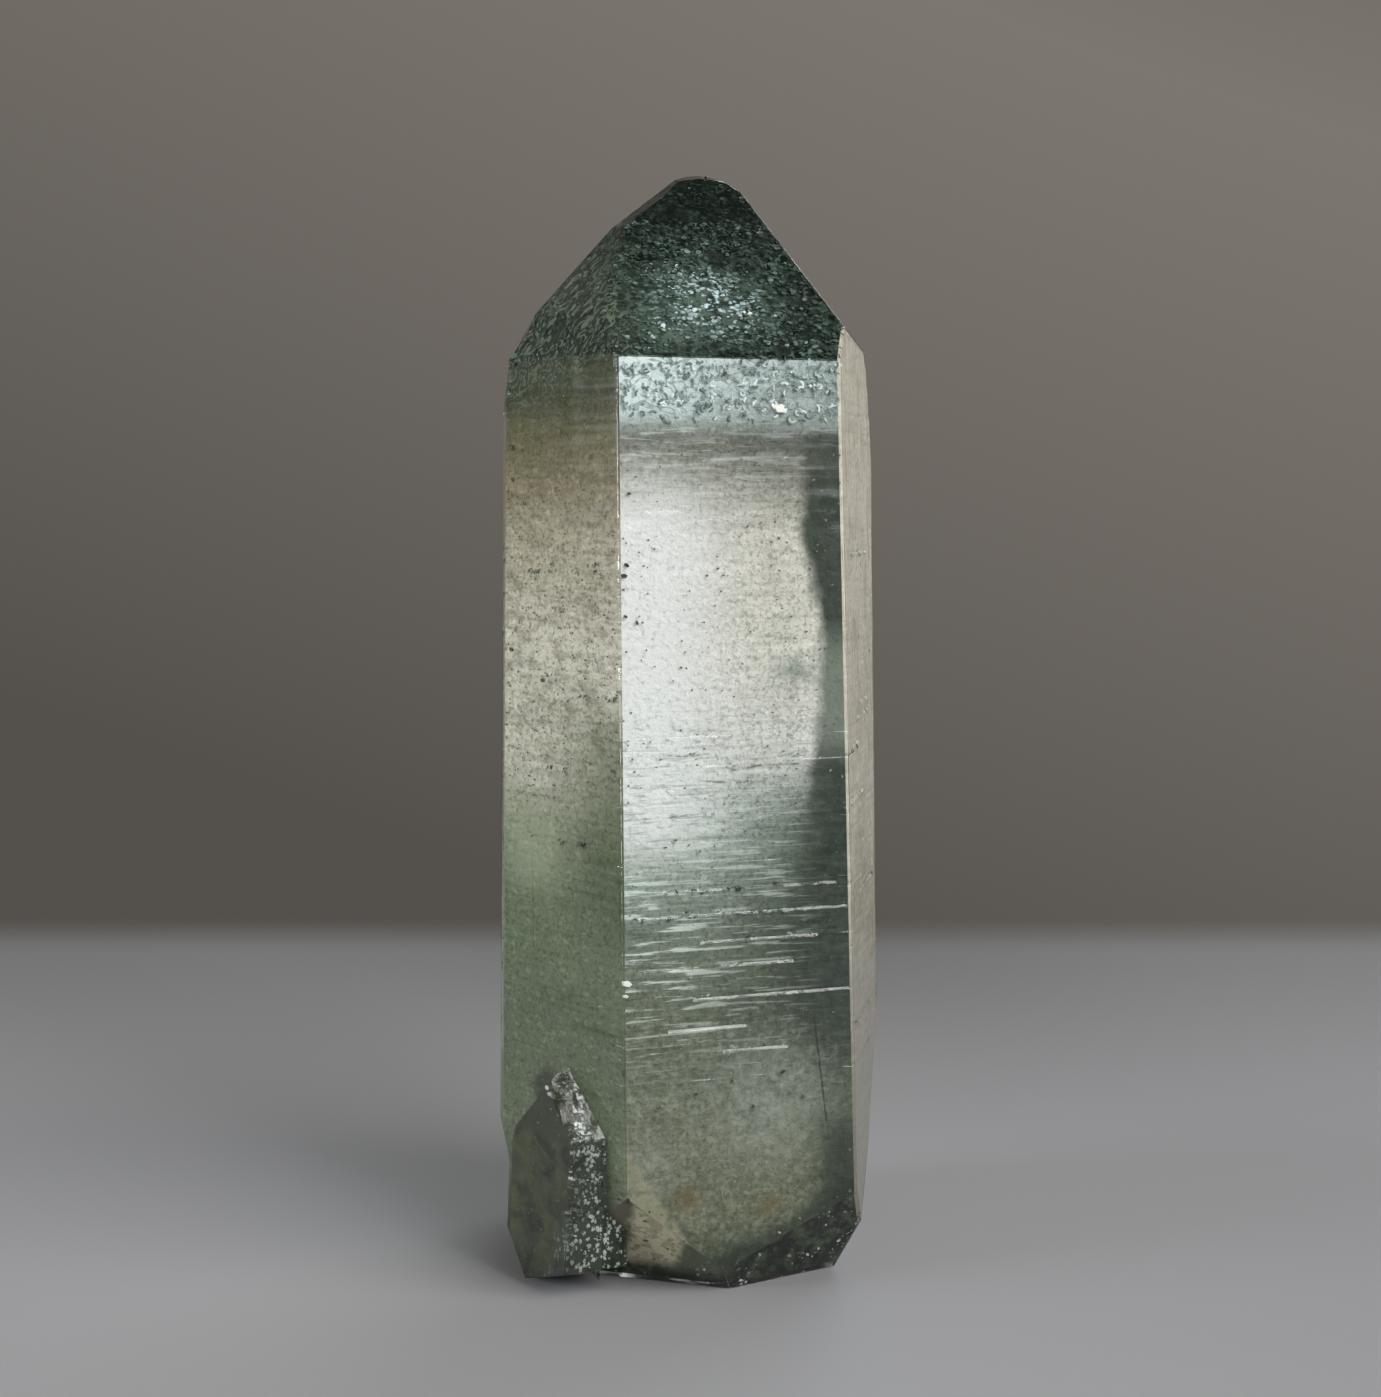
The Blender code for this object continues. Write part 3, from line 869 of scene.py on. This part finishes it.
def merged_solid(broken=True):
    """The CAD crystal as a bmesh whose flat faces are whole, with or without its foot's broken corners."""
    solid = bmesh.new()
    solid.from_mesh(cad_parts[NODE].data)
    bmesh.ops.remove_doubles(solid, verts=solid.verts[:], dist=0.001 * MM)
    if broken:
        solid = chipped(solid)
        bmesh.ops.remove_doubles(solid, verts=solid.verts[:], dist=0.001 * MM)
    bmesh.ops.dissolve_limit(
        solid, angle_limit=math.radians(0.5), verts=solid.verts[:], edges=solid.edges[:]
    )
    solid.normal_update()
    return solid


def finish_piece(solid, name, materials, sharp=None):
    """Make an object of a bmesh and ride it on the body."""
    mesh = bpy.data.meshes.new(name)
    solid.to_mesh(mesh)
    solid.free()
    for material in materials:
        mesh.materials.append(material)
    if sharp is not None:
        mesh.shade_smooth()
        mesh.set_sharp_from_angle(angle=math.radians(sharp))
    piece = bpy.data.objects.new(name, mesh)
    bpy.context.scene.collection.objects.link(piece)
    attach(piece, BODY)
    return piece


def parts_of(faces):
    """Faces with their edges and corners, as the slicing operator wants them."""
    edges = {edge for face in faces for edge in face.edges}
    corners = {corner for face in faces for corner in face.verts}
    return list(corners) + list(edges) + list(faces)


def slice_faces(solid, faces, direction, levels):
    """Slice faces with planes across a direction, from the last level back to the first."""
    rest = list(faces)
    done = []
    for level in sorted(levels, reverse=True):
        pieces = bmesh.ops.bisect_plane(
            solid, geom=parts_of(rest), dist=0.0005 * MM, plane_co=direction * level, plane_no=direction
        )["geom"]
        found = [part for part in pieces if isinstance(part, bmesh.types.BMFace)]
        rest = [face for face in found if face.calc_center_median().dot(direction) < level]
        done += [face for face in found if face.calc_center_median().dot(direction) >= level]
    return done + rest


def steps(start, end, spacing, chance, spread=0.3):
    """Places from start to end about one spacing apart."""
    place = start
    places = []
    while place < end:
        places.append(place)
        place += spacing * chance.uniform(1.0 - spread, 1.0 + spread)
    return places


def ledge_rows(chance):
    """Heights and strengths of the growth ledges, from the foot up: (bottom, top, strength)."""
    rows = []
    level = LEDGES[0]
    while level < LEDGES[1]:
        dense = DENSE_LEDGES[0] < level < DENSE_LEDGES[1]
        ramp = chance.uniform(0.05, 0.12) * MM
        strength = chance.uniform(0.25, 1.2) if dense else chance.uniform(0.1, 0.6)
        strength *= 0.2 if level < DENSE_LEDGES[0] else 1.0
        rows.append((level, level + ramp, strength))
        level += ramp + chance.uniform(0.10, 0.38 if dense else 0.8) * MM
    return rows


def ledge_depth(rows, levels, height, across, face):
    """How deep the ledges are at a place: each rises from its bottom to its top and eases off above."""
    if not levels[0] < height < levels[-1]:
        return 0.0
    high = bisect.bisect_right(levels, height)
    low = high - 1
    share = (height - levels[low]) / (levels[high] - levels[low])
    depth = 0.0
    for index, weight in ((low, 1.0 - share), (high, share)):
        if index % 2:
            row = index // 2
            patch = noise.noise(Vector((across / MM / 4.0, row * 3.7, face * 11.0))) + 0.25
            tremble = 0.75 + 0.5 * noise.noise(Vector((across / MM / 0.9, row * 5.3, face * 7.0)))
            depth += weight * rows[row][2] * max(0.0, min(1.0, patch * 1.6)) * tremble
    return depth


def cut_ledges(solid, settings):
    """Slice the prism faces at the ledges and push the slices in."""
    chance = random.Random(21)
    rows = ledge_rows(chance)
    levels = [level for row in rows for level in row[:2]]
    wide = [face for face in solid.faces if face.calc_area() > 60.0 * MM * MM]
    sides = [(direction, [f for f in wide if faces_side(f.normal, direction)]) for direction in PRISM]
    sliced = []
    for direction, faces in sides:
        across = UP.cross(heading_vector(direction))
        spots = [v.co.dot(across) for f in faces for v in f.verts]
        columns = steps(min(spots) + 0.4 * MM, max(spots), 0.75 * MM, chance)
        sliced += slice_faces(solid, faces, across, columns)
    sliced = slice_faces(solid, sliced, UP, levels)
    for number, direction in enumerate(PRISM):
        out = heading_vector(direction)
        across = UP.cross(out)
        faces = [face for face in sliced if faces_side(face.normal, direction)]
        for corner in {corner for face in faces for corner in face.verts}:
            depth = ledge_depth(rows, levels, corner.co.z, corner.co.dot(across), number)
            swell = noise.noise(corner.co / (9.0 * MM) + Vector((number, 0.0, 0.0)))
            corner.co -= out * (depth * settings.ledge + max(0.0, swell) * 0.05 * MM)


def ease_groove(solid, level, share):
    """Make the groove across the front face at a height shallower by a share."""
    front = CAD_LOW.y
    for corner in solid.verts:
        if abs(corner.co.z - level) < 0.15 * MM and 0.02 * MM < corner.co.y - front < 0.4 * MM:
            corner.co.y += (front - corner.co.y) * share


def grain_faces(solid, faces, spacing, height, seed):
    """Break faces up into small facets and shift their corners a little, in only."""
    chance = random.Random(seed)
    for direction in (UP, Vector((1.0, 0.2, 0.0)), Vector((-0.4, 1.0, 0.0))):
        direction = direction.normalized()
        spots = [v.co.dot(direction) for f in faces for v in f.verts]
        levels = steps(min(spots) + spacing / 2.0, max(spots), spacing, chance)
        faces = slice_faces(solid, faces, direction, levels)
    normals = {}
    for face in faces:
        for corner in face.verts:
            normals.setdefault(corner, Vector()).xyz += face.normal
    for corner, normal in normals.items():
        depth = abs(noise.noise(corner.co / (0.31 * MM))) + 0.6 * abs(noise.noise(corner.co / (1.7 * MM)))
        corner.co -= normal.normalized() * (height * depth * 1.6)


class QUARTZ_OT_clear_skin(bpy.types.Operator):
    """Build the clear outer quartz from the crystal's own faces, with ledges, grain and worn edges"""

    bl_idname = "quartz.clear_skin"
    bl_label = "Clear Skin"

    def execute(self, context):
        settings = context.scene.quartz_skin
        solid = merged_solid()
        ease_groove(solid, FAINT_GROOVE, GROOVE_FILL)
        long_edges = [
            edge for edge in solid.edges
            if edge.calc_length() > 2.5 * MM and edge.calc_face_angle(0.0) > math.radians(24.0)
            and min(face.calc_area() for face in edge.link_faces) > 20.0 * MM * MM
        ]
        bmesh.ops.bevel(
            solid, geom=long_edges, offset=settings.edge, offset_type="OFFSET", segments=1,
            profile=0.5, affect="EDGES", material=-1, clamp_overlap=True,
        )
        solid.normal_update()

        def wanted_on_point(rise, area, middle):
            return rise > SLANT_RISE and area > 2.0

        def wanted_on_foot(rise, area, middle):
            return rise < -SLANT_RISE and area > 2.0 and middle.z > 0.1 * MM

        def wanted_on_side(rise, area, middle):
            return middle.z < SIDE_TOP and middle.x < -10.0 * MM and 9.0 < area < 120.0

        for wanted, spacing, strength, seed in (
            (wanted_on_point, 0.5, 1.0, 4), (wanted_on_foot, 0.6, 1.0, 5), (wanted_on_side, 0.45, 0.7, 6)
        ):
            faces = [
                face for face in solid.faces
                if wanted(looks(face.normal)[1], face.calc_area() / MM / MM, face.calc_center_median())
            ]
            grain_faces(solid, faces, spacing * MM, settings.grain * strength, seed)
        cut_ledges(solid, settings)
        skin = finish_piece(solid, "clear_skin", [clear_quartz(settings.tint)], 4.0)
        skin.visible_shadow = False
        skin.visible_diffuse = False
        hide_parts(NODE)
        return {"FINISHED"}


def big_facets():
    """The CAD crystal's larger flat faces: (normal, distance from the origin, area, middle)."""
    solid = merged_solid(broken=False)
    facets = []
    for face in solid.faces:
        middle = face.calc_center_median()
        if face.calc_area() > 8.0 * MM * MM or middle.z > TIP_LOW:
            facets.append((face.normal.copy(), face.normal.dot(face.verts[0].co), face.calc_area(), middle))
    solid.free()
    return facets


def left_plane(facets):
    """Normal and distance of the main crystal's front left face, which carries the side crystal."""
    found = max((f for f in facets if faces_side(f[0], FRONT_LEFT)), key=lambda f: f[2])
    return found[0], found[1]


def inner_solid(facets, inset):
    """A block cut by the facets' planes, each moved in by inset(normal)."""
    solid = bmesh.new()
    bmesh.ops.create_cube(solid, size=300.0 * MM)
    for normal, distance, *_ in facets:
        cut(solid, normal, distance - inset(normal))
    bmesh.ops.recalc_face_normals(solid, faces=solid.faces[:])
    solid.normal_update()
    return solid


def on_strip(normal):
    """Whether a face belongs to the pale narrow side on the right and its shoulder."""
    heading, lift = looks(normal)
    return turn_between(heading, -12.0) < 26.0 and abs(lift) < 30.0


CLOUDS = (front_cloud, left_cloud, back_cloud, chlorite_cloud, foot_cloud, strip_cloud)


def on_left(normal):
    return turn_between(looks(normal)[0], LEFT) < 60.0


def cloud_of(normal):
    """The cloud that a face of the phantom shows."""
    heading, rise = looks(normal)
    if on_strip(normal):
        return strip_cloud
    if abs(rise) > SLANT_RISE:
        return chlorite_cloud if rise > 0.0 else foot_cloud
    if turn_between(heading, FRONT) < 20.0:
        return front_cloud
    return left_cloud if on_left(normal) else back_cloud


class QUARTZ_OT_phantom_body(bpy.types.Operator):
    """Build the cloudy growth zones that lie just under the clear quartz, in both crystals"""

    bl_idname = "quartz.phantom_body"
    bl_label = "Phantom Body"

    def execute(self, context):
        settings = context.scene.quartz_phantom
        facets = big_facets()
        left_normal, left_distance = left_plane(facets)

        def inset(normal):
            rise = looks(normal)[1]
            if rise < -SLANT_RISE:
                return FOOT_DEPTH
            return settings.point_depth if rise > POINT_RISE else settings.depth

        past = left_distance + 0.25 * MM
        side = [f for f in facets if f[3].dot(left_normal) > past and f[3].z < SIDE_TOP]
        main = [f for f in facets if f not in side]
        joint = (-left_normal, -(left_distance - 2.0 * MM), 0.0, Vector())
        ground = (Vector((0.0, 0.0, -1.0)), 0.0, 0.0, Vector())
        clouds = [cloud() for cloud in CLOUDS]
        for name, chosen in (("phantom_body", main + [ground]), ("side_phantom", side + [joint, ground])):
            solid = inner_solid(chosen, inset)
            if name == "side_phantom":
                finish_piece(solid, name, [side_cloud()])
                continue
            solid = chipped(solid, FOOT_DEPTH)
            solid.normal_update()
            for face in solid.faces:
                face.material_index = CLOUDS.index(cloud_of(face.normal))
            finish_piece(solid, name, clouds)
        return {"FINISHED"}


class Scatter:
    """Random places on the CAD crystal's faces, the same ones each run."""

    def __init__(self, seed, wanted):
        self.chance = random.Random(seed)
        solid = merged_solid()
        bmesh.ops.triangulate(solid, faces=solid.faces[:])
        self.spots = []
        self.sums = []
        total = 0.0
        for face in solid.faces:
            corners = [corner.co.copy() for corner in face.verts]
            if wanted(face.normal, face.calc_center_median()):
                total += face.calc_area()
                self.spots.append((corners, face.normal.copy()))
                self.sums.append(total)
        solid.free()

    def pick(self):
        """One place and its face normal."""
        aim = self.chance.uniform(0.0, self.sums[-1])
        corners, normal = self.spots[bisect.bisect_left(self.sums, aim)]
        first, second = self.chance.random(), self.chance.random()
        if first + second > 1.0:
            first, second = 1.0 - first, 1.0 - second
        spot = corners[0] + (corners[1] - corners[0]) * first + (corners[2] - corners[0]) * second
        return spot, normal


def flake_shape(sides, thickness):
    """A flat plate one unit across with slightly smaller top than bottom."""
    shape = bmesh.new()
    bmesh.ops.create_cone(
        shape, cap_ends=True, segments=sides, radius1=0.5, radius2=0.42, depth=thickness
    )
    shape.verts.layers.float.new("tone")
    return shape


def worm_shape(chance, sides=5, bends=5):
    """A short bent rod, one unit long or so, lying flat."""
    shape = bmesh.new()
    radius = chance.uniform(0.22, 0.6)
    ring = bmesh.ops.create_circle(shape, segments=sides, radius=0.14, cap_ends=False)["verts"]
    bmesh.ops.rotate(shape, verts=ring, cent=Vector(), matrix=Matrix.Rotation(math.pi / 2.0, 3, "X"))
    bmesh.ops.translate(shape, verts=ring, vec=Vector((radius, 0.0, 0.0)))
    bmesh.ops.spin(
        shape, geom=shape.verts[:] + shape.edges[:], cent=Vector(), axis=UP,
        angle=chance.uniform(0.6, 1.3) / radius * 0.8, steps=bends, use_merge=False,
    )
    bmesh.ops.translate(shape, verts=shape.verts[:], vec=Vector((-radius, 0.0, 0.0)))
    bmesh.ops.holes_fill(shape, edges=[edge for edge in shape.edges if edge.is_boundary], sides=0)
    bmesh.ops.recalc_face_normals(shape, faces=shape.faces[:])
    shape.verts.layers.float.new("tone")
    return shape


def turned_to(normal, chance, tilt, along=None):
    """Lay a flat shape on a face with a small tilt, turned at random or roughly along a direction."""
    spin = chance.uniform(0.0, math.tau)
    side = normal.orthogonal()
    if along is not None:
        side = along - normal * along.dot(normal)
        spin = chance.gauss(0.0, 0.45)
    side = side.normalized()
    frame_of_face = Matrix((side, normal.cross(side), normal)).transposed().to_4x4()
    lean = Matrix.Rotation(chance.gauss(0.0, tilt), 4, "X")
    return frame_of_face @ Matrix.Rotation(spin, 4, "Z") @ lean


def laid(place, length, width, thickness, turn):
    """Matrix that lays a flat shape at a place, with its length, width, thickness and turn."""
    return Matrix.Translation(place) @ turn @ Matrix.Diagonal((length, width, thickness, 1.0))


def joined(placings):
    """One bmesh of many copies of small shapes: placings gives (shape, matrix, tone)."""
    whole = bmesh.new()
    whole.verts.layers.float.new("tone")
    scratch = bpy.data.meshes.new("scratch")
    for shape, matrix, tone in placings:
        part = shape.copy()
        layer = part.verts.layers.float["tone"]
        part.transform(matrix)
        for corner in part.verts:
            corner[layer] = tone
        part.to_mesh(scratch)
        part.free()
        whole.from_mesh(scratch)
    bpy.data.meshes.remove(scratch)
    return whole


def shine(spot, across, height, wide, tall, slant):
    """How strong a painted highlight is at a place: 1 in its middle and less with the distance."""
    aside = spot.x / MM - across
    above = spot.z / MM - height + slant * aside
    return math.exp(-(aside / wide) ** 2 - (above / tall) ** 2)


class QUARTZ_OT_point_flakes(bpy.types.Operator):
    """Scatter chlorite flakes and rods, dark green to white, under the faces of the point, whiter under the
    painted highlights
    """

    bl_idname = "quartz.point_flakes"
    bl_label = "Point Flakes"

    def execute(self, context):
        settings = context.scene.quartz_flakes
        depth = context.scene.quartz_phantom.point_depth

        def wanted(normal, middle):
            return looks(normal)[1] > SLANT_RISE and middle.z > 30.0 * MM and not on_strip(normal)

        scatter = Scatter(31, wanted)
        chance = scatter.chance
        shapes = [flake_shape(4, 0.16), flake_shape(5, 0.12)]
        shapes += [worm_shape(chance, 4, 3) for _ in range(6)]
        level, rising = Vector((1.0, 0.0, 0.0)), Vector((0.65, 0.1, 0.75))
        placings = []
        while len(placings) < settings.point_count:
            spot, normal = scatter.pick()
            front = normal.y < -0.6
            # Painted highlight: flakes get paler tones under the bright patches in front.
            bright = max(shine(spot, *POINT_HIGHLIGHT), 0.5 * shine(spot, *SIDE_HIGHLIGHT)) * (1.0 if front else 0.2)
            clump = 0.5 + noise.noise(spot / (1.1 * MM)) + 0.5 * noise.noise(spot / (3.5 * MM))
            if clump < 0.2 + 0.3 * chance.random():
                continue
            dusky = 0.25 if spot.z > TIP_LOW else 1.0
            tone = chance.random() ** 1.2 * (0.12 + 0.5 * min(1.0, clump)) * dusky
            tone = min(1.0, tone + bright * chance.random())
            size = settings.size * chance.uniform(0.4, 1.1)
            place = spot - normal * chance.uniform(0.12 * MM, depth - 0.02 * MM)
            length = size * chance.uniform(1.0, 1.9)
            turn = turned_to(normal, chance, 0.12, level if front else rising)
            matrix = laid(place, length, size, size * 0.7, turn)
            placings.append((chance.choice(shapes), matrix, tone))
        colours = display(14, 24, 19), display(92, 116, 106), display(228, 242, 244)
        finish_piece(joined(placings), "point_flakes", [flake_paint("chlorite_flakes", *colours, 0.4)])
        return {"FINISHED"}


class QUARTZ_OT_chlorite_worms(bpy.types.Operator):
    """Scatter dark bent chlorite rods in the pale band at the top of the front face"""

    bl_idname = "quartz.chlorite_worms"
    bl_label = "Chlorite Worms"

    def execute(self, context):
        chance = random.Random(47)
        shapes = [worm_shape(chance) for _ in range(9)]
        low, high = PALE_BAND
        placings = []
        for _ in range(context.scene.quartz_flakes.worm_count):
            place = Vector((chance.uniform(-8.7, 8.5), FRONT_FACE + chance.uniform(0.14, 0.33), 0.0)) * MM
            share = chance.random()
            place.z = (low + (high - low) * share ** 0.8) * MM
            size = chance.uniform(0.45, 0.8) * MM
            matrix = laid(place, size, size, size * 0.5, turned_to(FORWARD, chance, 0.1))
            placings.append((chance.choice(shapes), matrix, chance.random()))
        colours = display(88, 106, 102), display(150, 170, 166), display(236, 246, 246)
        finish_piece(joined(placings), "chlorite_worms", [flake_paint("chlorite_rods", *colours, 0.6)])
        return {"FINISHED"}


class QUARTZ_OT_face_specks(bpy.types.Operator):
    """Scatter dark specks under the prism faces, thickest on the left ones"""

    bl_idname = "quartz.face_specks"
    bl_label = "Face Specks"

    def execute(self, context):
        shapes = [flake_shape(5, 0.3), flake_shape(6, 0.25)]
        scatter = Scatter(53, lambda normal, middle: abs(looks(normal)[1]) < PRISM_RISE)
        chance = scatter.chance
        placings = []
        while len(placings) < context.scene.quartz_flakes.speck_count:
            spot, normal = scatter.pick()
            height = spot.z / MM
            left = on_left(normal)
            high = 40.0 < height < 69.0
            keep = (0.9 if left else 0.25) if high else 0.12
            if height > 69.0 and left:
                keep = 1.0
            if chance.random() > keep:
                continue
            large = chance.random() < 0.009
            size = chance.uniform(0.26, 0.4) * MM if large else chance.uniform(0.07, 0.18) * MM
            place = spot - normal * chance.uniform(0.08, 0.33) * MM
            length = size * chance.uniform(1.0, 1.8)
            turn = turned_to(normal, chance, 0.12, normal.cross(UP))
            matrix = laid(place, length, size, size * 0.5, turn)
            tone = chance.random() * 0.25 if large else 0.2 + 0.4 * chance.random()
            placings.append((chance.choice(shapes), matrix, tone))
        colours = display(50, 52, 40), display(118, 114, 94), display(244, 246, 240)
        # The single marks; the white ones are painted glints.
        for across, height, size, tone in MARKS:
            place = Vector((across, MARK_PLACE, height)) * MM
            turn = turned_to(FORWARD, chance, 0.1, Vector((1.0, 0.0, -0.3)))
            matrix = laid(place, size * MM, size * 0.6 * MM, size * 0.3 * MM, turn)
            placings.append((shapes[0], matrix, tone))
        finish_piece(joined(placings), "face_specks", [flake_paint("chlorite_specks", *colours, 0.6)])
        return {"FINISHED"}


class QUARTZ_OT_foot_glints(bpy.types.Operator):
    """Scatter bright crushed chips on the side crystal's front face and round the foot"""

    bl_idname = "quartz.foot_glints"
    bl_label = "Foot Glints"

    def execute(self, context):
        shapes = [flake_shape(4, 0.25), flake_shape(5, 0.2)]
        facets = big_facets()
        left_normal, left_distance = left_plane(facets)

        def wanted(normal, middle):
            if middle.dot(left_normal) > left_distance + 0.2 * MM and middle.z < SIDE_TOP:
                return turn_between(looks(normal)[0], FRONT) < 25.0
            return looks(normal)[1] < -SLANT_RISE and middle.z > 0.05 * MM

        scatter = Scatter(67, wanted)
        chance = scatter.chance
        placings = []
        while len(placings) < context.scene.quartz_flakes.glint_count:
            spot, normal = scatter.pick()
            under = looks(normal)[1] < -SLANT_RISE
            clump = noise.noise(spot / (1.3 * MM))
            if clump < (0.12 if under else -0.15) or under and spot.x < -2.5 * MM and chance.random() < 0.8:
                continue
            size = (0.08 + 0.27 * chance.random() ** 3) * MM
            place = spot - normal * chance.uniform(0.04, 0.11 if under else 0.33) * MM
            length = size * chance.uniform(1.0, 1.9)
            matrix = laid(place, length, size, size * 0.6, turned_to(normal, chance, 0.15))
            placings.append((chance.choice(shapes), matrix, chance.random() ** 2.3))
        colours = display(34, 44, 36), display(112, 122, 112), display(214, 222, 216)
        finish_piece(joined(placings), "foot_glints", [flake_paint("crushed_quartz", *colours, 0.25)])
        return {"FINISHED"}


def floor_material(colour):
    paint = Paint("pale_floor")
    place = paint.place()
    cloud = paint.grain(place, 0.012, 2.0)
    tone = paint.mix(cloud * 0.10, colour, (0.3, 0.3, 0.32, 1.0))
    # Painted shade: the floor darker towards the back.
    away = paint.axis(paint.place(turn=(0.0, 0.0, -math.radians(VIEW_TURN))), "Y")
    tone = paint.mix(away.rise(10.0, 110.0) * 0.5, tone, (0.10, 0.095, 0.09, 1.0))
    # Painted shade: the floor darker towards the right.
    right = paint.axis(place, "X").rise(-45.0, 70.0)
    tone = paint.mix(right * 0.5, tone, display(150, 150, 152), "MULTIPLY")
    edge = away.fall(96.0, 120.0) * paint.length(place).fall(220.0, 420.0)
    return paint.finish(Base_Color=tone, Roughness=0.6, Alpha=edge)


def surroundings_world(colour):
    """A soft studio all round, brightest above the floor's far edge and to the right, dark overhead."""
    paint = Paint("studio", bpy.data.worlds, "Background")
    spot = paint.node("ShaderNodeTexCoord", output="Generated")
    level = paint.axis(spot, "Z") + paint.axis(spot, "X") * 0.4 + 0.14
    stops = [(place, [part * shade for part in colour[:3]] + [1.0]) for place, shade in STUDIO_SHADES]
    return paint.finish(Color=paint.ramp(level, stops))


def soft_light(name, direction, rise, distance, size, power, colour):
    """A soft light at a compass direction and a rise above the floor, turned to the crystal."""
    lamp = bpy.data.lights.new(name, "AREA")
    lamp.shape = "RECTANGLE"
    lamp.size, lamp.size_y = size
    lamp.energy = power
    lamp.color = colour
    thing = bpy.data.objects.new(name, lamp)
    back = aim_of(direction, rise)
    thing.location = LIT_PLACE + back * distance
    thing.rotation_euler = back.to_track_quat("Z", "Y").to_euler()
    thing.visible_camera = False
    bpy.context.scene.collection.objects.link(thing)


class QUARTZ_OT_stage(bpy.types.Operator):
    """Set the floor, the studio, the soft lights and the camera"""

    bl_idname = "quartz.stage"
    bl_label = "Stage"

    def execute(self, context):
        settings = context.scene.quartz_stage
        solid = bmesh.new()
        bmesh.ops.create_grid(solid, x_segments=1, y_segments=1, size=0.5)
        bmesh.ops.scale(solid, verts=solid.verts[:], vec=FLOOR_SIZE)
        bmesh.ops.translate(solid, verts=solid.verts[:], vec=FLOOR_MIDDLE)
        mesh = bpy.data.meshes.new("floor")
        solid.to_mesh(mesh)
        solid.free()
        mesh.materials.append(floor_material(settings.floor))
        floor = bpy.data.objects.new("floor", mesh)
        context.scene.collection.objects.link(floor)
        context.scene.world = surroundings_world(settings.surroundings)
        for *where, share, colour in LIGHTS:
            soft_light(*where, settings.key * share, colour)
        self.set_camera(context, settings)
        context.scene.view_settings.view_transform = "Standard"
        context.scene.cycles.max_bounces = 14
        context.scene.cycles.transmission_bounces = 12
        context.scene.cycles.transparent_max_bounces = 16
        return {"FINISHED"}

    def set_camera(self, context, settings):
        data = bpy.data.cameras.new("camera")
        data.sensor_width = 36.0
        data.lens = VIEW_LENS
        data.clip_start = 1.0 * MM
        data.clip_end = 10.0
        camera = bpy.data.objects.new("camera", data)
        turn = math.radians(VIEW_TURN)
        back = Vector((math.sin(turn), -math.cos(turn), 0.0))
        camera.location = VIEW_AXIS + back * settings.camera_distance
        camera.location.z = settings.camera_height
        camera.rotation_euler = (math.radians(90.0 - VIEW_PITCH), 0.0, turn)
        context.scene.collection.objects.link(camera)
        context.scene.camera = camera


STEPS = (
    QUARTZ_OT_stage,
    QUARTZ_OT_clear_skin,
    QUARTZ_OT_phantom_body,
    QUARTZ_OT_point_flakes,
    QUARTZ_OT_chlorite_worms,
    QUARTZ_OT_face_specks,
    QUARTZ_OT_foot_glints,
)


class QUARTZ_PT_panel(bpy.types.Panel):
    """The crystal's settings and the steps that build it"""

    bl_idname = "QUARTZ_PT_panel"
    bl_label = "Phantom Quartz Crystal"
    bl_space_type = "VIEW_3D"
    bl_region_type = "UI"
    bl_category = "Quartz"

    def draw(self, context):
        for name in GROUPS:
            settings = getattr(context.scene, name)
            for key in settings.__annotations__:
                self.layout.prop(settings, key)
        for step in STEPS:
            self.layout.operator(step.bl_idname)


GROUPS = {
    "quartz_skin": SkinSettings,
    "quartz_phantom": PhantomSettings,
    "quartz_flakes": FlakeSettings,
    "quartz_stage": StageSettings,
}
CLASSES = tuple(GROUPS.values()) + STEPS + (QUARTZ_PT_panel,)


def register():
    for item in CLASSES:
        bpy.utils.register_class(item)
    for name, group in GROUPS.items():
        setattr(bpy.types.Scene, name, PointerProperty(type=group))


def unregister():
    for name in GROUPS:
        delattr(bpy.types.Scene, name)
    for item in reversed(CLASSES):
        bpy.utils.unregister_class(item)


def main():
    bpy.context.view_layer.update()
    register()
    for step in STEPS:
        group, name = step.bl_idname.split(".")
        getattr(getattr(bpy.ops, group), name)()
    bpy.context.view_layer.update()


if __name__ == "__main__":
    main()
